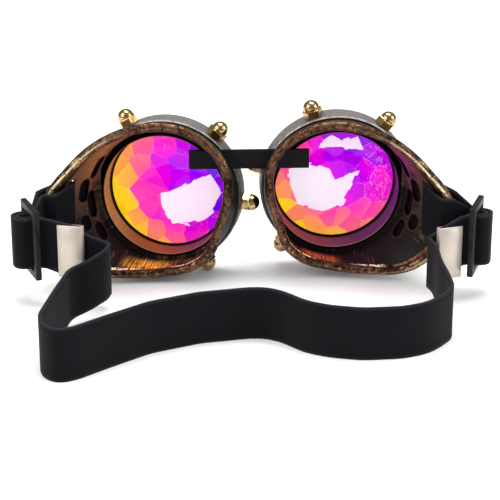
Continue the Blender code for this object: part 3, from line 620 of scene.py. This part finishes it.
def ring_finish(side):
    look = Recipe(side + "_ring_pewter", specular_ior_level=0.5)
    at = CupFrame(look, side)
    round_lines = at.streaks(14.0, 2600.0, 600.0, 5.0, 0.6)
    cross_lines = at.streaks(190.0, 150.0, 150.0, 4.0, 0.6)
    cloud = look.noise(at.here, 120.0, 4.0, 0.6)
    grain = look.noise(at.here, 1700.0, 3.0, 0.6)
    band = look.step(at.radius, RING_RADIUS - 0.0007, RING_RADIUS - 0.0003)
    front = look.step(at.depth, 0.0010, 0.0004)
    edge = look.step((at.depth - RING_DEPTH / 2).size(), 0.0036, 0.0042) * band
    rub = look.step(round_lines * 0.45 + cross_lines * 0.35 + cloud * 0.35, 0.46, 0.66)
    # Painted shade: on the nose side below the top, the band is left nearly black and its edge dim
    nose = look.step(at.out * -1.0, 0.013, 0.022) * look.step(at.up, 0.022, 0.012)
    wear_and_painted_light = band.most(front) * (0.45 + rub * 0.55) * (1 - nose * band * 0.88)
    pewter = look.mix(grain, rgb(0.200, 0.185, 0.182), rgb(0.500, 0.470, 0.460))
    warm = look.mix(cloud, pewter, rgb(0.330, 0.255, 0.220))
    skin = look.mix(wear_and_painted_light, rgb(0.010, 0.009, 0.009), look.mix(0.45, pewter, warm))
    skin = look.mix(edge * rub * (1 - nose * 0.6), skin, rgb(0.62, 0.56, 0.52))
    hatch = look.step(cross_lines, 0.40, 0.30).most(look.step(round_lines, 0.38, 0.30)) * band
    skin = look.mix(hatch * 0.65, skin, rgb(0.030, 0.027, 0.026))
    relief = round_lines * 0.4 + cross_lines * 0.6 + grain * 0.2
    return look.set(Base_Color=skin, Metallic=wear_and_painted_light * 0.72, Roughness=0.50 - rub * 0.14 + grain * 0.10,
                    Normal=look.bump(relief, 0.0002, 0.45))


RING_FINISH = {side: ring_finish(side) for side in SIGN}
print("ring nodes:", len(RING_FINISH["left"].node_tree.nodes))

# %% [markdown]
# The lenses are faceted glass with a colour-shifting film. Real facets with a coated glass shader
# would need a bright room to mirror, so here the film's colours are drawn. Each facet shows nearly
# one colour. There are wedges round the lens's point and small facets outside them, and a field
# that is constant over a facet picks its hue.

# %% Facets of a lens
LENS_RADIUS = 0.0256
SEAT = 0.0240
# Facets across a lens radius, and the smaller chips that break the pale facets' edges
FACETS = 3.3
CHIPS = 7.0
PATTERN_SHIFT = {"left": 3.0, "right": 11.4}
# Wedges round the point, where they end, the reach that their hue is taken at, and the reach past
# which the hue stays as it is, all three in lens radii
WEDGES = 9
WEDGE_END = 0.44
WEDGE_REACH = 0.27
HUE_END = 0.95


def cells(look, output, spots, feature="F1"):
    return look.node("TexVoronoi", output, {"voronoi_dimensions": "2D", "feature": feature},
                     Vector=spots, Scale=1.0, Randomness=0.95)


def cell_tone(look, spots):
    return look.parts(cells(look, "Color", spots))[0]


class LensFacets:
    def __init__(self, look, side):
        x, _, z = look.parts(in_cup(look, side))
        self.x = x * (1.0 / LENS_RADIUS)
        self.z = z * (1.0 / LENS_RADIUS)
        self.radius = hypotenuse(self.x, self.z)
        self.turn = self.z.turned_from(self.x)

        shift = PATTERN_SHIFT[side]
        spots = look.vector(self.x * FACETS + shift, self.z * FACETS, 0.0)
        self.tone = cell_tone(look, spots)
        self.border = cells(look, "Distance", spots, "DISTANCE_TO_EDGE")
        self.chip = cell_tone(look, look.vector(self.x * CHIPS + shift, self.z * CHIPS, 0.0)) - 0.5

        # Where each facet's middle is, and from it the turn and reach that give the facet's hue
        middle_x, middle_z, _ = look.parts(cells(look, "Position", spots))
        middle_x = (middle_x - shift) * (1.0 / FACETS)
        middle_z = middle_z * (1.0 / FACETS)
        reach = hypotenuse(middle_x, middle_z)
        self.outside = reach > WEDGE_END
        wedge = (self.turn * (WEDGES / math.tau)).floor() + 0.5
        wedge_turn = wedge * ((1 - self.outside) * (math.tau / WEDGES))
        self.hue_turn = middle_z.turned_from(middle_x) * self.outside + wedge_turn
        self.hue_reach = reach.least(HUE_END) * self.outside + (1 - self.outside) * WEDGE_REACH


print("facets across a lens:", round(2 * FACETS), "wedges:", WEDGES)

# %% [markdown]
# The film runs from yellow at the rim that faces the lower left, through pink and magenta, to
# violet. How warm it is at a facet depends on where the facet lies, and each facet differs a
# little from its neighbours.

# %% Colours of the film
# How warm the film is: at the middle, what is added at the rim, how much it leans, and to which side
WARMTH = {"left": (0.415, 0.19, 0.46, math.radians(200.0)),
          "right": (0.395, 0.25, 0.29, math.radians(234.0))}
FILM = [(0.00, rgb(0.100, 0.000, 0.80)), (0.18, rgb(0.190, 0.000, 0.78)), (0.32, rgb(0.42, 0.000, 0.75)),
        (0.44, rgb(0.76, 0.000, 0.63)), (0.56, rgb(0.95, 0.045, 0.40)), (0.67, rgb(0.98, 0.170, 0.22)),
        (0.79, rgb(1.00, 0.340, 0.09)), (0.90, rgb(1.00, 0.640, 0.010))]


def film_colour(look, on, side):
    centre, rim, lean, side_turn = WARMTH[side]
    warm = (on.hue_turn - side_turn).cosine() * on.hue_reach * lean
    warm = warm + on.hue_reach * on.hue_reach * rim + centre
    warm = warm + (on.tone - 0.5) * on.hue_reach * 0.20 + (on.radius - on.hue_reach) * on.outside * 0.28
    return look.node("ValToRGB", 0, {"stops": FILM}, {0: warm})


print("film stops:", len(FILM))

# %% [markdown]
# The facets that look straight at the white backdrop mirror it, and this is painted as nearly white.
# Their outlines are drawn, and small facets break the edges. Painted highlights run as thin lines
# between the outer facets, with painted glints, most of them on the right lens.

# %% Light on the facets
# The facets that show the painted reflection of the white backdrop, as corners in lens radii
BACKDROP_FACETS = {
    "left": [[(0.01, -0.03), (0.00, -0.54), (0.31, -0.57), (0.53, -0.48), (0.70, -0.33), (0.86, -0.04),
              (0.66, 0.30)],
             [(0.01, -0.03), (-0.13, -0.06), (-0.135, -0.27), (0.00, -0.50), (0.10, -0.40)]],
    "right": [[(0.00, 0.06), (-0.09, 0.25), (-0.46, 0.36), (-0.73, 0.24), (-0.71, -0.02),
               (-0.60, -0.34), (-0.15, -0.50)],
              [(0.00, 0.06), (-0.15, -0.50), (0.13, -0.36), (0.30, 0.00), (0.39, 0.21)],
              [(-0.25, 0.59), (0.13, 0.59), (0.13, 0.71), (-0.07, 0.81), (-0.20, 0.72)],
              [(0.11, 0.59), (0.42, 0.57), (0.33, 0.78), (0.11, 0.71)]],
}
SOFT_EDGE = 0.004


def inside(look, x, z, corners):
    # How far a point is in from each side of the outline, and the least of these
    gaps = []
    for (ax, az), (bx, bz) in zip(corners, corners[1:] + corners[:1]):
        length = math.hypot(bx - ax, bz - az)
        nx = (az - bz) / length
        nz = (bx - ax) / length
        gaps.append(x * nx + z * nz - (ax * nx + az * nz))
    return look.step(reduce(Field.least, gaps), -SOFT_EDGE, SOFT_EDGE)


def painted_backdrop_reflection(look, on, side):
    chip = on.chip * look.step(on.radius, 0.10, 0.40)
    x = on.x + chip * 0.068
    z = on.z - chip * 0.062
    return reduce(Field.most, [inside(look, x, z, corners) for corners in BACKDROP_FACETS[side]])


def painted_highlights(look, on, side):
    # Painted highlights: thin bright lines between the outer facets, and glints
    hairs = look.noise(look.vector(on.turn * 30.0, on.radius * 5.0, on.tone * 9.0), 1.0, 4.0, 0.65)
    glints = look.step(hairs, 0.61, 0.68) * look.step(on.radius, 0.45, 0.70)
    ragged = look.noise(look.vector(on.x * 7.0, on.z * 7.0, on.tone * 5.0), 1.0, 3.0, 0.6)
    lines = look.step(on.border, 0.050, 0.010) * (on.tone > 0.5) * on.outside
    lines = lines * look.step(ragged, 0.42, 0.56)
    if side == "right":
        shards = look.noise(look.vector(on.turn * 9.0, on.radius * 26.0, on.tone * 9.0), 1.0, 3.0, 0.6)
        flank = look.step(on.x, 0.42, 0.60) * look.step(on.x, 0.95, 0.80) * look.step(on.z, -0.55, -0.20)
        glints = glints * (0.5 + look.step(on.x, 0.2, 0.6))
        glints = glints.most(look.step(shards, 0.56, 0.62) * flank)
        lines = lines * look.step(on.x, -0.1, 0.5) * 2
    return lines * 0.11 + glints * 0.22


print("pale facets:", {side: len(outlines) for side, outlines in BACKDROP_FACETS.items()})

# %% [markdown]
# The film shines with the light that comes through it, so part of the colour is its own light.
# Beyond its seat the lens is in the ring's shadow and black.

# %% Lens finish
def lens_finish(side):
    look = Recipe(side + "_lens_film", roughness=0.06, emission_strength=0.62, coat_weight=0.08,
                  specular_ior_level=0.15)
    on = LensFacets(look, side)
    pale = painted_backdrop_reflection(look, on, side)
    film = look.mix(painted_highlights(look, on, side), film_colour(look, on, side), rgb(1.0, 0.55, 0.86))
    backdrop_reflection_tint = look.mix(look.step(on.x + on.z * 0.6, -0.4, 0.5), rgb(0.80, 0.74, 0.83), rgb(0.82, 0.66, 0.80))
    # Painted reflection: the facets that face the white backdrop are made nearly white
    film = look.mix(pale * 0.97, film, backdrop_reflection_tint)
    seat = SEAT / LENS_RADIUS
    shadow = look.step(on.radius, seat - SOFT_EDGE, seat + SOFT_EDGE)
    film = look.mix(shadow, film, rgb(0.004, 0.003, 0.003))
    film = look.node("VectorMath", "Vector", {"operation": "SCALE"}, Vector=film,
                     Scale=(0.88 + on.tone * 0.18) * (1 - pale) + pale)
    return look.set(Base_Color=film, Emission_Color=film, Normal=look.bump(on.tone, 0.0002, 0.20))


LENS_FINISH = {side: lens_finish(side) for side in SIGN}
print("lens nodes:", len(LENS_FINISH["left"].node_tree.nodes))

# %% [markdown]
# Polished brass for the cap nuts, steel for the short screws under them, black rubber for the
# gaskets, black moulded plastic for the sliders and a warm nickel sheet for the strap's end clips.
# Each is one colour on the real piece, so noise at two scales, for grain and for wear, is enough
# to keep it from looking flat.

# %% Small metal, rubber and plastic finishes
def brass_finish():
    look = Recipe("cap_nut_brass", metallic=1.0)
    here = look.place()
    cloud = look.noise(here, 420.0, 4.0, 0.6)
    scratch = look.noise(here, 2600.0, 3.0, 0.7)
    stain = look.step(cloud, 0.50, 0.72)
    skin = look.mix(stain, rgb(0.56, 0.39, 0.18), rgb(0.26, 0.165, 0.07))
    return look.set(Base_Color=skin, Roughness=0.13 + stain * 0.16 + scratch * 0.07,
                    Normal=look.bump(scratch, 0.00001, 0.3))


def steel_finish():
    look = Recipe("screw_steel", metallic=1.0)
    here = look.place()
    cloud = look.noise(here, 800.0, 3.0, 0.6)
    skin = look.mix(cloud, rgb(0.34, 0.34, 0.35), rgb(0.62, 0.61, 0.60))
    return look.set(Base_Color=skin, Roughness=0.28 + cloud * 0.18, Normal=look.bump(cloud, 0.00005, 0.3))


def rubber_finish(name, dark, light, scale):
    look = Recipe(name, specular_ior_level=0.2)
    here = look.place()
    grain = look.noise(here, scale, 4.0, 0.6)
    dust = look.noise(here, 160.0, 3.0, 0.5)
    skin = look.mix(grain * 0.6 + dust * 0.4, dark, light)
    return look.set(Base_Color=skin, Roughness=0.58 + grain * 0.20 + dust * 0.10,
                    Normal=look.bump(grain, 0.00006, 0.5))


def slider_finish():
    look = Recipe("slider_plastic", specular_ior_level=0.30)
    here = look.place()
    grain = look.noise(here, 1500.0, 3.0, 0.6)
    rub = look.noise(here, 260.0, 4.0, 0.6)
    skin = look.mix(look.step(rub, 0.35, 0.75), rgb(0.004, 0.004, 0.005), rgb(0.014, 0.014, 0.017))
    return look.set(Base_Color=skin, Roughness=0.38 + grain * 0.22, Normal=look.bump(grain, 0.00006, 0.4))


def nickel_finish():
    look = Recipe("clip_nickel", metallic=0.55)
    x, y, z = look.parts(look.place())
    lines = look.noise(look.vector(x * 260.0, y * 260.0, z * 5200.0), 1.0, 3.0, 0.6)
    cloud = look.noise(look.place(), 220.0, 3.0, 0.5)
    skin = look.mix(cloud * 0.6 + lines * 0.4, rgb(0.54, 0.465, 0.39), rgb(0.74, 0.665, 0.59))
    return look.set(Base_Color=skin, Roughness=0.34 + lines * 0.14, Normal=look.bump(lines, 0.00004, 0.4))


BRASS = brass_finish()
STEEL = steel_finish()
GASKET = rubber_finish("gasket_rubber", rgb(0.004, 0.004, 0.004), rgb(0.014, 0.014, 0.014), 1200.0)
SLIDER = slider_finish()
NICKEL = nickel_finish()
print("small finishes ready")

# %% [markdown]
# The hard pieces keep the shape of their solids. Each is copied, its loose triangles are joined,
# and its gentle edges are shaded as the smooth moulded or turned surfaces that they are, while
# corners stay crisp. Only the nuts' domes get more corners, because a dome of so few facets would
# show its outline.

# %% Smooth copies of the hard pieces
JOIN = 0.000005
FLAT_DEG = 0.4
SHARP_DEG = 38.0
THIN_SHARP_DEG = 50.0
NUT_SHARP_DEG = 18.0
BALL_RADIUS = 0.0033
BALL_SLACK = 0.00003
BALL_CUTS = 3


def mesh_piece(name, shape, finish):
    mesh = bpy.data.meshes.new(name)
    shape.to_mesh(mesh)
    shape.free()
    mesh.materials.append(finish)
    return add_object(name, mesh)


def round_dome(shape, side):
    # The tip is the nut's furthest corner from the lens axis. The dome's corners lie on a ball
    # below it. They are filled in with more corners on the same ball.
    back = cup_matrix(side).inverted()

    def from_axis(place):
        here = back @ place
        return Vector((here.x, 0.0, here.z))

    tip = max(shape.verts, key=lambda vert: from_axis(vert.co).length)
    outward = (cup_matrix(side).to_3x3() @ from_axis(tip.co)).normalized()
    middle = tip.co - outward * BALL_RADIUS

    def on_ball(vert):
        return abs((vert.co - middle).length - BALL_RADIUS) < BALL_SLACK

    ball = [face for face in shape.faces if all(on_ball(vert) for vert in face.verts)]
    edges = list({edge for face in ball for edge in face.edges})
    made = bmesh.ops.subdivide_edges(shape, edges=edges, cuts=BALL_CUTS, use_grid_fill=True)
    for vert in {item for item in made["geom_inner"] if isinstance(item, bmesh.types.BMVert)}:
        vert.co = middle + (vert.co - middle).normalized() * BALL_RADIUS


def smooth_copy(node, name, finish, sharp_deg=SHARP_DEG, tip_from=None):
    shape = bmesh.new()
    shape.from_mesh(nodes[node].data)
    bmesh.ops.remove_doubles(shape, verts=shape.verts, dist=JOIN)
    bmesh.ops.dissolve_limit(shape, angle_limit=math.radians(FLAT_DEG), verts=shape.verts,
                             edges=shape.edges)
    bmesh.ops.recalc_face_normals(shape, faces=shape.faces)
    if tip_from:
        round_dome(shape, tip_from)
    for face in shape.faces:
        face.smooth = True
    for edge in shape.edges:
        edge.smooth = edge.is_manifold and edge.calc_face_angle() < math.radians(sharp_deg)
    piece = mesh_piece(name, shape, finish)
    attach(piece, nodes[node]["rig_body"])
    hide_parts(node)
    return piece


print("smooth copies ready")

# %% [markdown]
# The paint differs between a cup's two sides, and the vents are black inside. A face whose normal
# points well away from the lens axis belongs to the outer side. Each face carries the answer as a
# number that the paint reads, and the inner faces that lie in a vent's frame take the black.

# %% Inner sides and vents
OUTWARD = 0.5
VENT_REACH = (-0.0008, 0.0004)
VENT_SLACK = 0.00003


def in_vent(point, vent):
    middle, round_way, along, out, half = vent
    off = point - middle
    past_end = max(abs(off.dot(round_way)) - half, 0.0)
    beside = math.hypot(past_end, off.dot(along)) < VENT_WIDTH / 2 + VENT_SLACK
    return beside and VENT_REACH[0] < off.dot(out) < VENT_REACH[1]


def mark_inner_side(cup, side):
    back = cup_matrix(side).inverted()
    vents = [vent_frame(side, vent) for vent in VENTS]
    within = cup.data.attributes.new("within", "FLOAT", "FACE")
    dark = 0
    for face in cup.data.polygons:
        middle = back @ face.center
        facing = (back.to_3x3() @ face.normal).dot(Vector((middle.x, 0.0, middle.z)).normalized())
        inner = facing < OUTWARD
        within.data[face.index].value = float(inner)
        if inner and any(in_vent(middle, vent) for vent in vents):
            face.material_index = 1
            dark += 1
    print(side, "cup faces in vents:", dark, "of", len(cup.data.polygons))


# %% [markdown]
# The two sides have the same pieces, so one loop dresses both. Smooth copies stand in for the cup,
# the ring, the cap nuts, the slider and the clip. The screws, the gasket and the lens keep their
# solids and only get a finish, since the first two are hidden and the lens's facets are flat.

# %% Both sides dressed
NUTS = 6

for side in SIGN:
    cup = smooth_copy(side + "_eye_cup", side + "_cup_shell", CUP_FINISH[side])
    cup.data.materials.append(VENT_FINISH)
    mark_inner_side(cup, side)
    smooth_copy(side + "_lens_ring", side + "_ring_band", RING_FINISH[side])
    for number in range(1, NUTS + 1):
        smooth_copy(f"{side}_cap_nut_{number}", f"{side}_domed_nut_{number}", BRASS,
                    NUT_SHARP_DEG, tip_from=side)
        nodes[f"{side}_ring_screw_{number}"].material_slots[0].material = STEEL
    nodes[side + "_lens"].material_slots[0].material = LENS_FINISH[side]
    nodes[side + "_lens_gasket"].material_slots[0].material = GASKET
    smooth_copy(side + "_slider", side + "_webbing_slider", SLIDER, THIN_SHARP_DEG)
    smooth_copy(side + "_strap_clip", side + "_end_clip", NICKEL, THIN_SHARP_DEG)

# %% [markdown]
# The bridge strap is a flat rubber band pushed through a slot in each cup. It is cut from sheet,
# so its ends are square and its edges only slightly broken. A cube scaled to the solid's box and
# bevelled a little is that shape.

# %% Bridge band
BAND_LOW, BAND_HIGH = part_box("bridge_strap")
BAND_EDGE = 0.00035


def bridge_band():
    low = Vector(BAND_LOW)
    high = Vector(BAND_HIGH)
    shape = bmesh.new()
    bmesh.ops.create_cube(shape, size=1.0)
    bmesh.ops.scale(shape, vec=high - low, verts=shape.verts)
    bmesh.ops.translate(shape, vec=(low + high) / 2, verts=shape.verts)
    bmesh.ops.bevel(shape, geom=shape.edges[:], offset=BAND_EDGE, segments=3, profile=0.5,
                    affect="EDGES", material=-1)
    rubber = rubber_finish("bridge_rubber", rgb(0.0022, 0.0020, 0.0036), rgb(0.0075, 0.0070, 0.0112),
                           1500.0)
    piece = mesh_piece("bridge_band", shape, rubber)
    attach(piece, "bridge")
    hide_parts("bridge_strap")
    return piece


print(bridge_band().name, "mm:", [round((b - a) * 1000, 1) for a, b in zip(BAND_LOW, BAND_HIGH)])

# %% [markdown]
# The head strap is one length of ribbed elastic, 20 mm wide. Each end runs through the slider,
# over the cup's rim, out through the cup's slot, back through the slider and ends in a metal clip.
# The route below is the one the solid strap follows: places of the band's middle line and the
# bend at each. It is walked in finer steps here, and the band's width is drawn up from its lower
# edge in rows, so that the weave can be laid along it.

# %% Strap route
STRAP_WIDTH = 0.0200
STRAP_THICKNESS = 0.0013
STEP_DEG = 7.0
LONG_STEP = 0.0020
SAME_SPOT = 0.00001
ROWS = 10
ROUTE = [
    (-0.06622, 0.00939, 0.02230, 0.0000), (-0.07914, 0.01330, 0.02450, 0.0016),
    (-0.08338, 0.01454, 0.02450, 0.0016), (-0.09071, 0.01187, 0.02450, 0.0049),
    (-0.09407, 0.02108, 0.02450, 0.0049), (-0.08580, 0.02409, 0.02450, 0.0016),
    (-0.08408, 0.03284, 0.02929, 0.0016), (-0.08245, 0.03532, 0.02938, 0.0016),
    (-0.07316, 0.03861, 0.03254, 0.0012), (-0.06938, 0.03339, 0.03241, 0.0016),
    (-0.07699, 0.02814, 0.02921, 0.0016), (-0.08214, 0.02897, 0.02919, 0.0016),
    (-0.08501, 0.02193, 0.02450, 0.0016), (-0.09168, 0.01950, 0.02450, 0.0026),
    (-0.08990, 0.01461, 0.02450, 0.0026), (-0.08323, 0.01704, 0.02450, 0.0016),
    (-0.05530, 0.00860, 0.01600, 0.0020), (-0.05660, 0.00150, 0.01600, 0.0200),
    (-0.06260, -0.00420, 0.01400, 0.0200), (-0.06990, -0.00810, 0.01200, 0.0200),
    (-0.07460, -0.02760, 0.01050, 0.0200), (-0.07850, -0.04900, 0.01000, 0.0200),
    (-0.07630, -0.05760, 0.01000, 0.0200), (-0.07150, -0.06200, 0.01000, 0.0200),
    (-0.06570, -0.05970, 0.01000, 0.0200), (-0.05390, -0.04910, 0.01000, 0.0200),
    (-0.03980, -0.03730, 0.01000, 0.0200), (-0.02160, -0.02880, 0.01000, 0.0200),
    (-0.00310, -0.02500, 0.01000, 0.0200), (0.00280, -0.02540, 0.01000, 0.0200),
    (0.00850, -0.02910, 0.01000, 0.0200), (0.01650, -0.03910, 0.01000, 0.0200),
    (0.02480, -0.04370, 0.01000, 0.0200), (0.03600, -0.04680, 0.01000, 0.0200),
    (0.05050, -0.04600, 0.01000, 0.0200), (0.05960, -0.04240, 0.01000, 0.0200),
    (0.06510, -0.03680, 0.01000, 0.0200), (0.07030, -0.02960, 0.01000, 0.0200),
    (0.07140, -0.02590, 0.01050, 0.0200), (0.07070, -0.01790, 0.01200, 0.0200),
    (0.06920, -0.00990, 0.01400, 0.0200), (0.06910, 0.00230, 0.01600, 0.0200),
    (0.06730, 0.01050, 0.01600, 0.0020), (0.08423, 0.01604, 0.02350, 0.0016),
    (0.08978, 0.01402, 0.02350, 0.0026), (0.09155, 0.01891, 0.02350, 0.0026),
    (0.08601, 0.02093, 0.02350, 0.0016), (0.07838, 0.01830, 0.02857, 0.0016),
    (0.07317, 0.01846, 0.02860, 0.0016), (0.06680, 0.02613, 0.03243, 0.0016),
    (0.07160, 0.03043, 0.03286, 0.0012), (0.07999, 0.02551, 0.02931, 0.0016),
    (0.08680, 0.02309, 0.02350, 0.0016), (0.09394, 0.02049, 0.02350, 0.0049),
    (0.09059, 0.01128, 0.02350, 0.0049), (0.08438, 0.01354, 0.02350, 0.0016),
    (0.08023, 0.01220, 0.02350, 0.0016), (0.07167, 0.00941, 0.01950, 0.0000)]


def round_bend(last, here, following, bend):
    # One bend as an arc seen from above, with its rise spread evenly along it
    before = last - here
    after = following - here
    turn = math.pi - before.xy.angle(after.xy)
    tangent = min(bend * math.tan(turn / 2), min(before.xy.length, after.xy.length) / 2)
    start = here + before * (tangent / before.xy.length)
    end = here + after * (tangent / after.xy.length)
    bisector = (before.xy.normalized() + after.xy.normalized()).normalized()
    centre = here.xy + bisector * math.hypot(tangent / math.tan(turn / 2), tangent)
    arm = start.xy - centre
    sense = 1.0 if before.xy.cross(after.xy) < 0.0 else -1.0
    steps = max(1, round(math.degrees(turn) / STEP_DEG))
    points = []
    for step in range(steps + 1):
        share = step / steps
        spot = centre + Matrix.Rotation(sense * turn * share, 2) @ arm
        points.append(Vector((spot.x, spot.y, start.z + (end.z - start.z) * share)))
    return points


def walk_route(route):
    places = [Vector(corner[:3]) for corner in route]
    points = places[:1]
    for index in range(1, len(route) - 1):
        points += round_bend(*places[index - 1:index + 2], route[index][3])
    points.append(places[-1])
    walked = points[:1]
    for point in points[1:]:
        start = walked[-1]
        gap = (point - start).length
        if gap > SAME_SPOT:
            pieces = max(1, round(gap / LONG_STEP))
            walked += [start.lerp(point, step / pieces) for step in range(1, pieces + 1)]
    return walked


strap_line = walk_route(ROUTE)
strap_steps = [(b - a).length for a, b in zip(strap_line, strap_line[1:])]
print("strap line:", len(strap_line), "places,", round(sum(strap_steps), 4), "m long")

# %% [markdown]
# Narrow elastic is woven with rubber threads along its length, which show as fine ribs, and the
# weft crosses them in small steps. The two selvedges are a little lighter where light catches
# them.

# %% Elastic finish
RIB_PITCH = 0.00095
WEFT_PITCH = 0.00062
SELVEDGE = 0.0011


def elastic_finish():
    look = Recipe("elastic_webbing", specular_ior_level=0.12, sheen_weight=0.04, sheen_roughness=0.5)
    along = look.attribute("along")
    height = look.attribute("height")
    rib = (height * (math.tau / RIB_PITCH)).sine() * 0.5 + 0.5
    weft = (along * (math.tau / WEFT_PITCH) + rib * 1.6).sine() * 0.5 + 0.5
    fuzz = look.noise(look.place(), 2300.0, 4.0, 0.7)
    cloud = look.noise(look.place(), 70.0, 3.0, 0.5)
    half = STRAP_WIDTH / 2
    selvedge = look.step((height - half).size(), half - SELVEDGE, half)
    tone = rib * 0.28 + weft * 0.22 + fuzz * 0.25 + cloud * 0.25
    skin = look.mix(tone, rgb(0.0012, 0.0011, 0.0020), rgb(0.0066, 0.0062, 0.0092))
    skin = look.mix(selvedge * 0.50, skin, rgb(0.026, 0.026, 0.033))
    return look.set(Base_Color=skin, Roughness=0.80 + fuzz * 0.15,
                    Normal=look.bump(rib * 0.55 + weft * 0.35 + fuzz * 0.25, 0.00012, 0.6))


print("threads across the strap:", round(STRAP_WIDTH / RIB_PITCH))

# %% [markdown]
# The band is drawn from the walked line: its lower edge first, then row after row of faces up to
# the top edge. Each corner carries how far along and how high it lies, for the weave. A Solidify
# modifier gives the band its thickness.

# %% Strap
def elastic_strap():
    shape = bmesh.new()
    along_layer = shape.verts.layers.float.new("along")
    height_layer = shape.verts.layers.float.new("height")
    runs = list(accumulate(strap_steps, initial=0.0))
    below = []
    for row in range(ROWS + 1):
        height = STRAP_WIDTH * row / ROWS
        rise = Vector((0.0, 0.0, height - STRAP_WIDTH / 2))
        above = [shape.verts.new(point + rise) for point in strap_line]
        for vert, run in zip(above, runs):
            vert[along_layer] = run
            vert[height_layer] = height
        for corners in zip(below[1:], above[1:], above, below):
            shape.faces.new(corners).smooth = True
        below = above
    piece = mesh_piece("elastic_webbing", shape, elastic_finish())
    solid = piece.modifiers.new("thickness", "SOLIDIFY")
    solid.thickness = STRAP_THICKNESS
    solid.offset = 0.0
    solid.use_even_offset = True
    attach(piece, "goggles")
    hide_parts("head_strap")
    return piece


print("strap faces before thickness:", len(elastic_strap().data.polygons))

# %% [markdown]
# Soft light from three sides shows the round shapes without hard shadows. A large lamp hangs over
# the goggles, a second stands at the camera's left and a weaker one at the right.

# %% Lamps
def soft_lamp(name, place, size, watts, tint):
    data = bpy.data.lights.new(name, "AREA")
    data.shape = "RECTANGLE"
    data.size, data.size_y = size
    data.energy = watts
    data.color = tint
    lamp = add_object(name, data)
    lamp.location = place
    lamp.rotation_euler = (AIM - Vector(place)).to_track_quat("-Z", "Y").to_euler()
    return lamp


soft_lamp("over", (0.05, 0.15, 1.10), (0.8, 0.5), 9.0, (1.0, 1.0, 1.0))
soft_lamp("left", (-0.85, -0.45, 0.70), (0.9, 0.9), 6.0, (1.0, 0.98, 0.95))
soft_lamp("right", (0.90, -0.30, 0.50), (0.7, 0.8), 4.0, (0.95, 0.98, 1.0))
print("lamps, watts:", [round(lamp.energy, 1) for lamp in bpy.data.lights])

# %% [markdown]
# A plain pale table, large enough to reach past the view. It is no part of the goggles.

# %% Table
TABLE_HALF = 6.0


def pale_table():
    shape = bmesh.new()
    bmesh.ops.create_grid(shape, x_segments=1, y_segments=1, size=TABLE_HALF)
    look = Recipe("table_white", specular_ior_level=0.2)
    mottle = look.noise(look.place(), 30.0, 3.0, 0.5)
    white = look.mix(mottle, rgb(0.93, 0.93, 0.93), rgb(0.96, 0.96, 0.96))
    table = mesh_piece("table", shape, look.set(Base_Color=white, Roughness=0.80 + mottle * 0.1))
    table.location = (0.0, 0.0, size_at_load[0][2])
    return table


pale_table()
print("table's top at height", round(size_at_load[0][2], 5))

# %% [markdown]
# The backdrop is the world: white for the camera, as in a catalogue picture, pale for the light
# that falls on things, and dark for what polished things mirror, so that the metal has something
# dark to show.

# %% World
def studio_world():
    world = bpy.data.worlds.new("studio")
    bpy.context.scene.world = world
    world.use_nodes = True
    tree = world.node_tree
    tree.nodes.clear()
    path = tree.nodes.new("ShaderNodeLightPath")
    output = tree.nodes.new("ShaderNodeOutputWorld")
    light = None
    for level, ray in ((0.80, None), (0.27, "Is Glossy Ray"), (1.0, "Is Camera Ray")):
        back = tree.nodes.new("ShaderNodeBackground")
        back.inputs["Color"].default_value = rgb(level, level, level)
        if light is None:
            light = back
            continue
        choose = tree.nodes.new("ShaderNodeMixShader")
        tree.links.new(path.outputs[ray], choose.inputs[0])
        tree.links.new(light.outputs[0], choose.inputs[1])
        tree.links.new(back.outputs[0], choose.inputs[2])
        light = choose
    tree.links.new(light.outputs[0], output.inputs["Surface"])


studio_world()
print("world:", bpy.context.scene.world.name)

# %% [markdown]
# At the end the scene is brought up to date. The box from straight after loading is kept in
# size_at_load.

# %% Finish
bpy.context.view_layer.update()
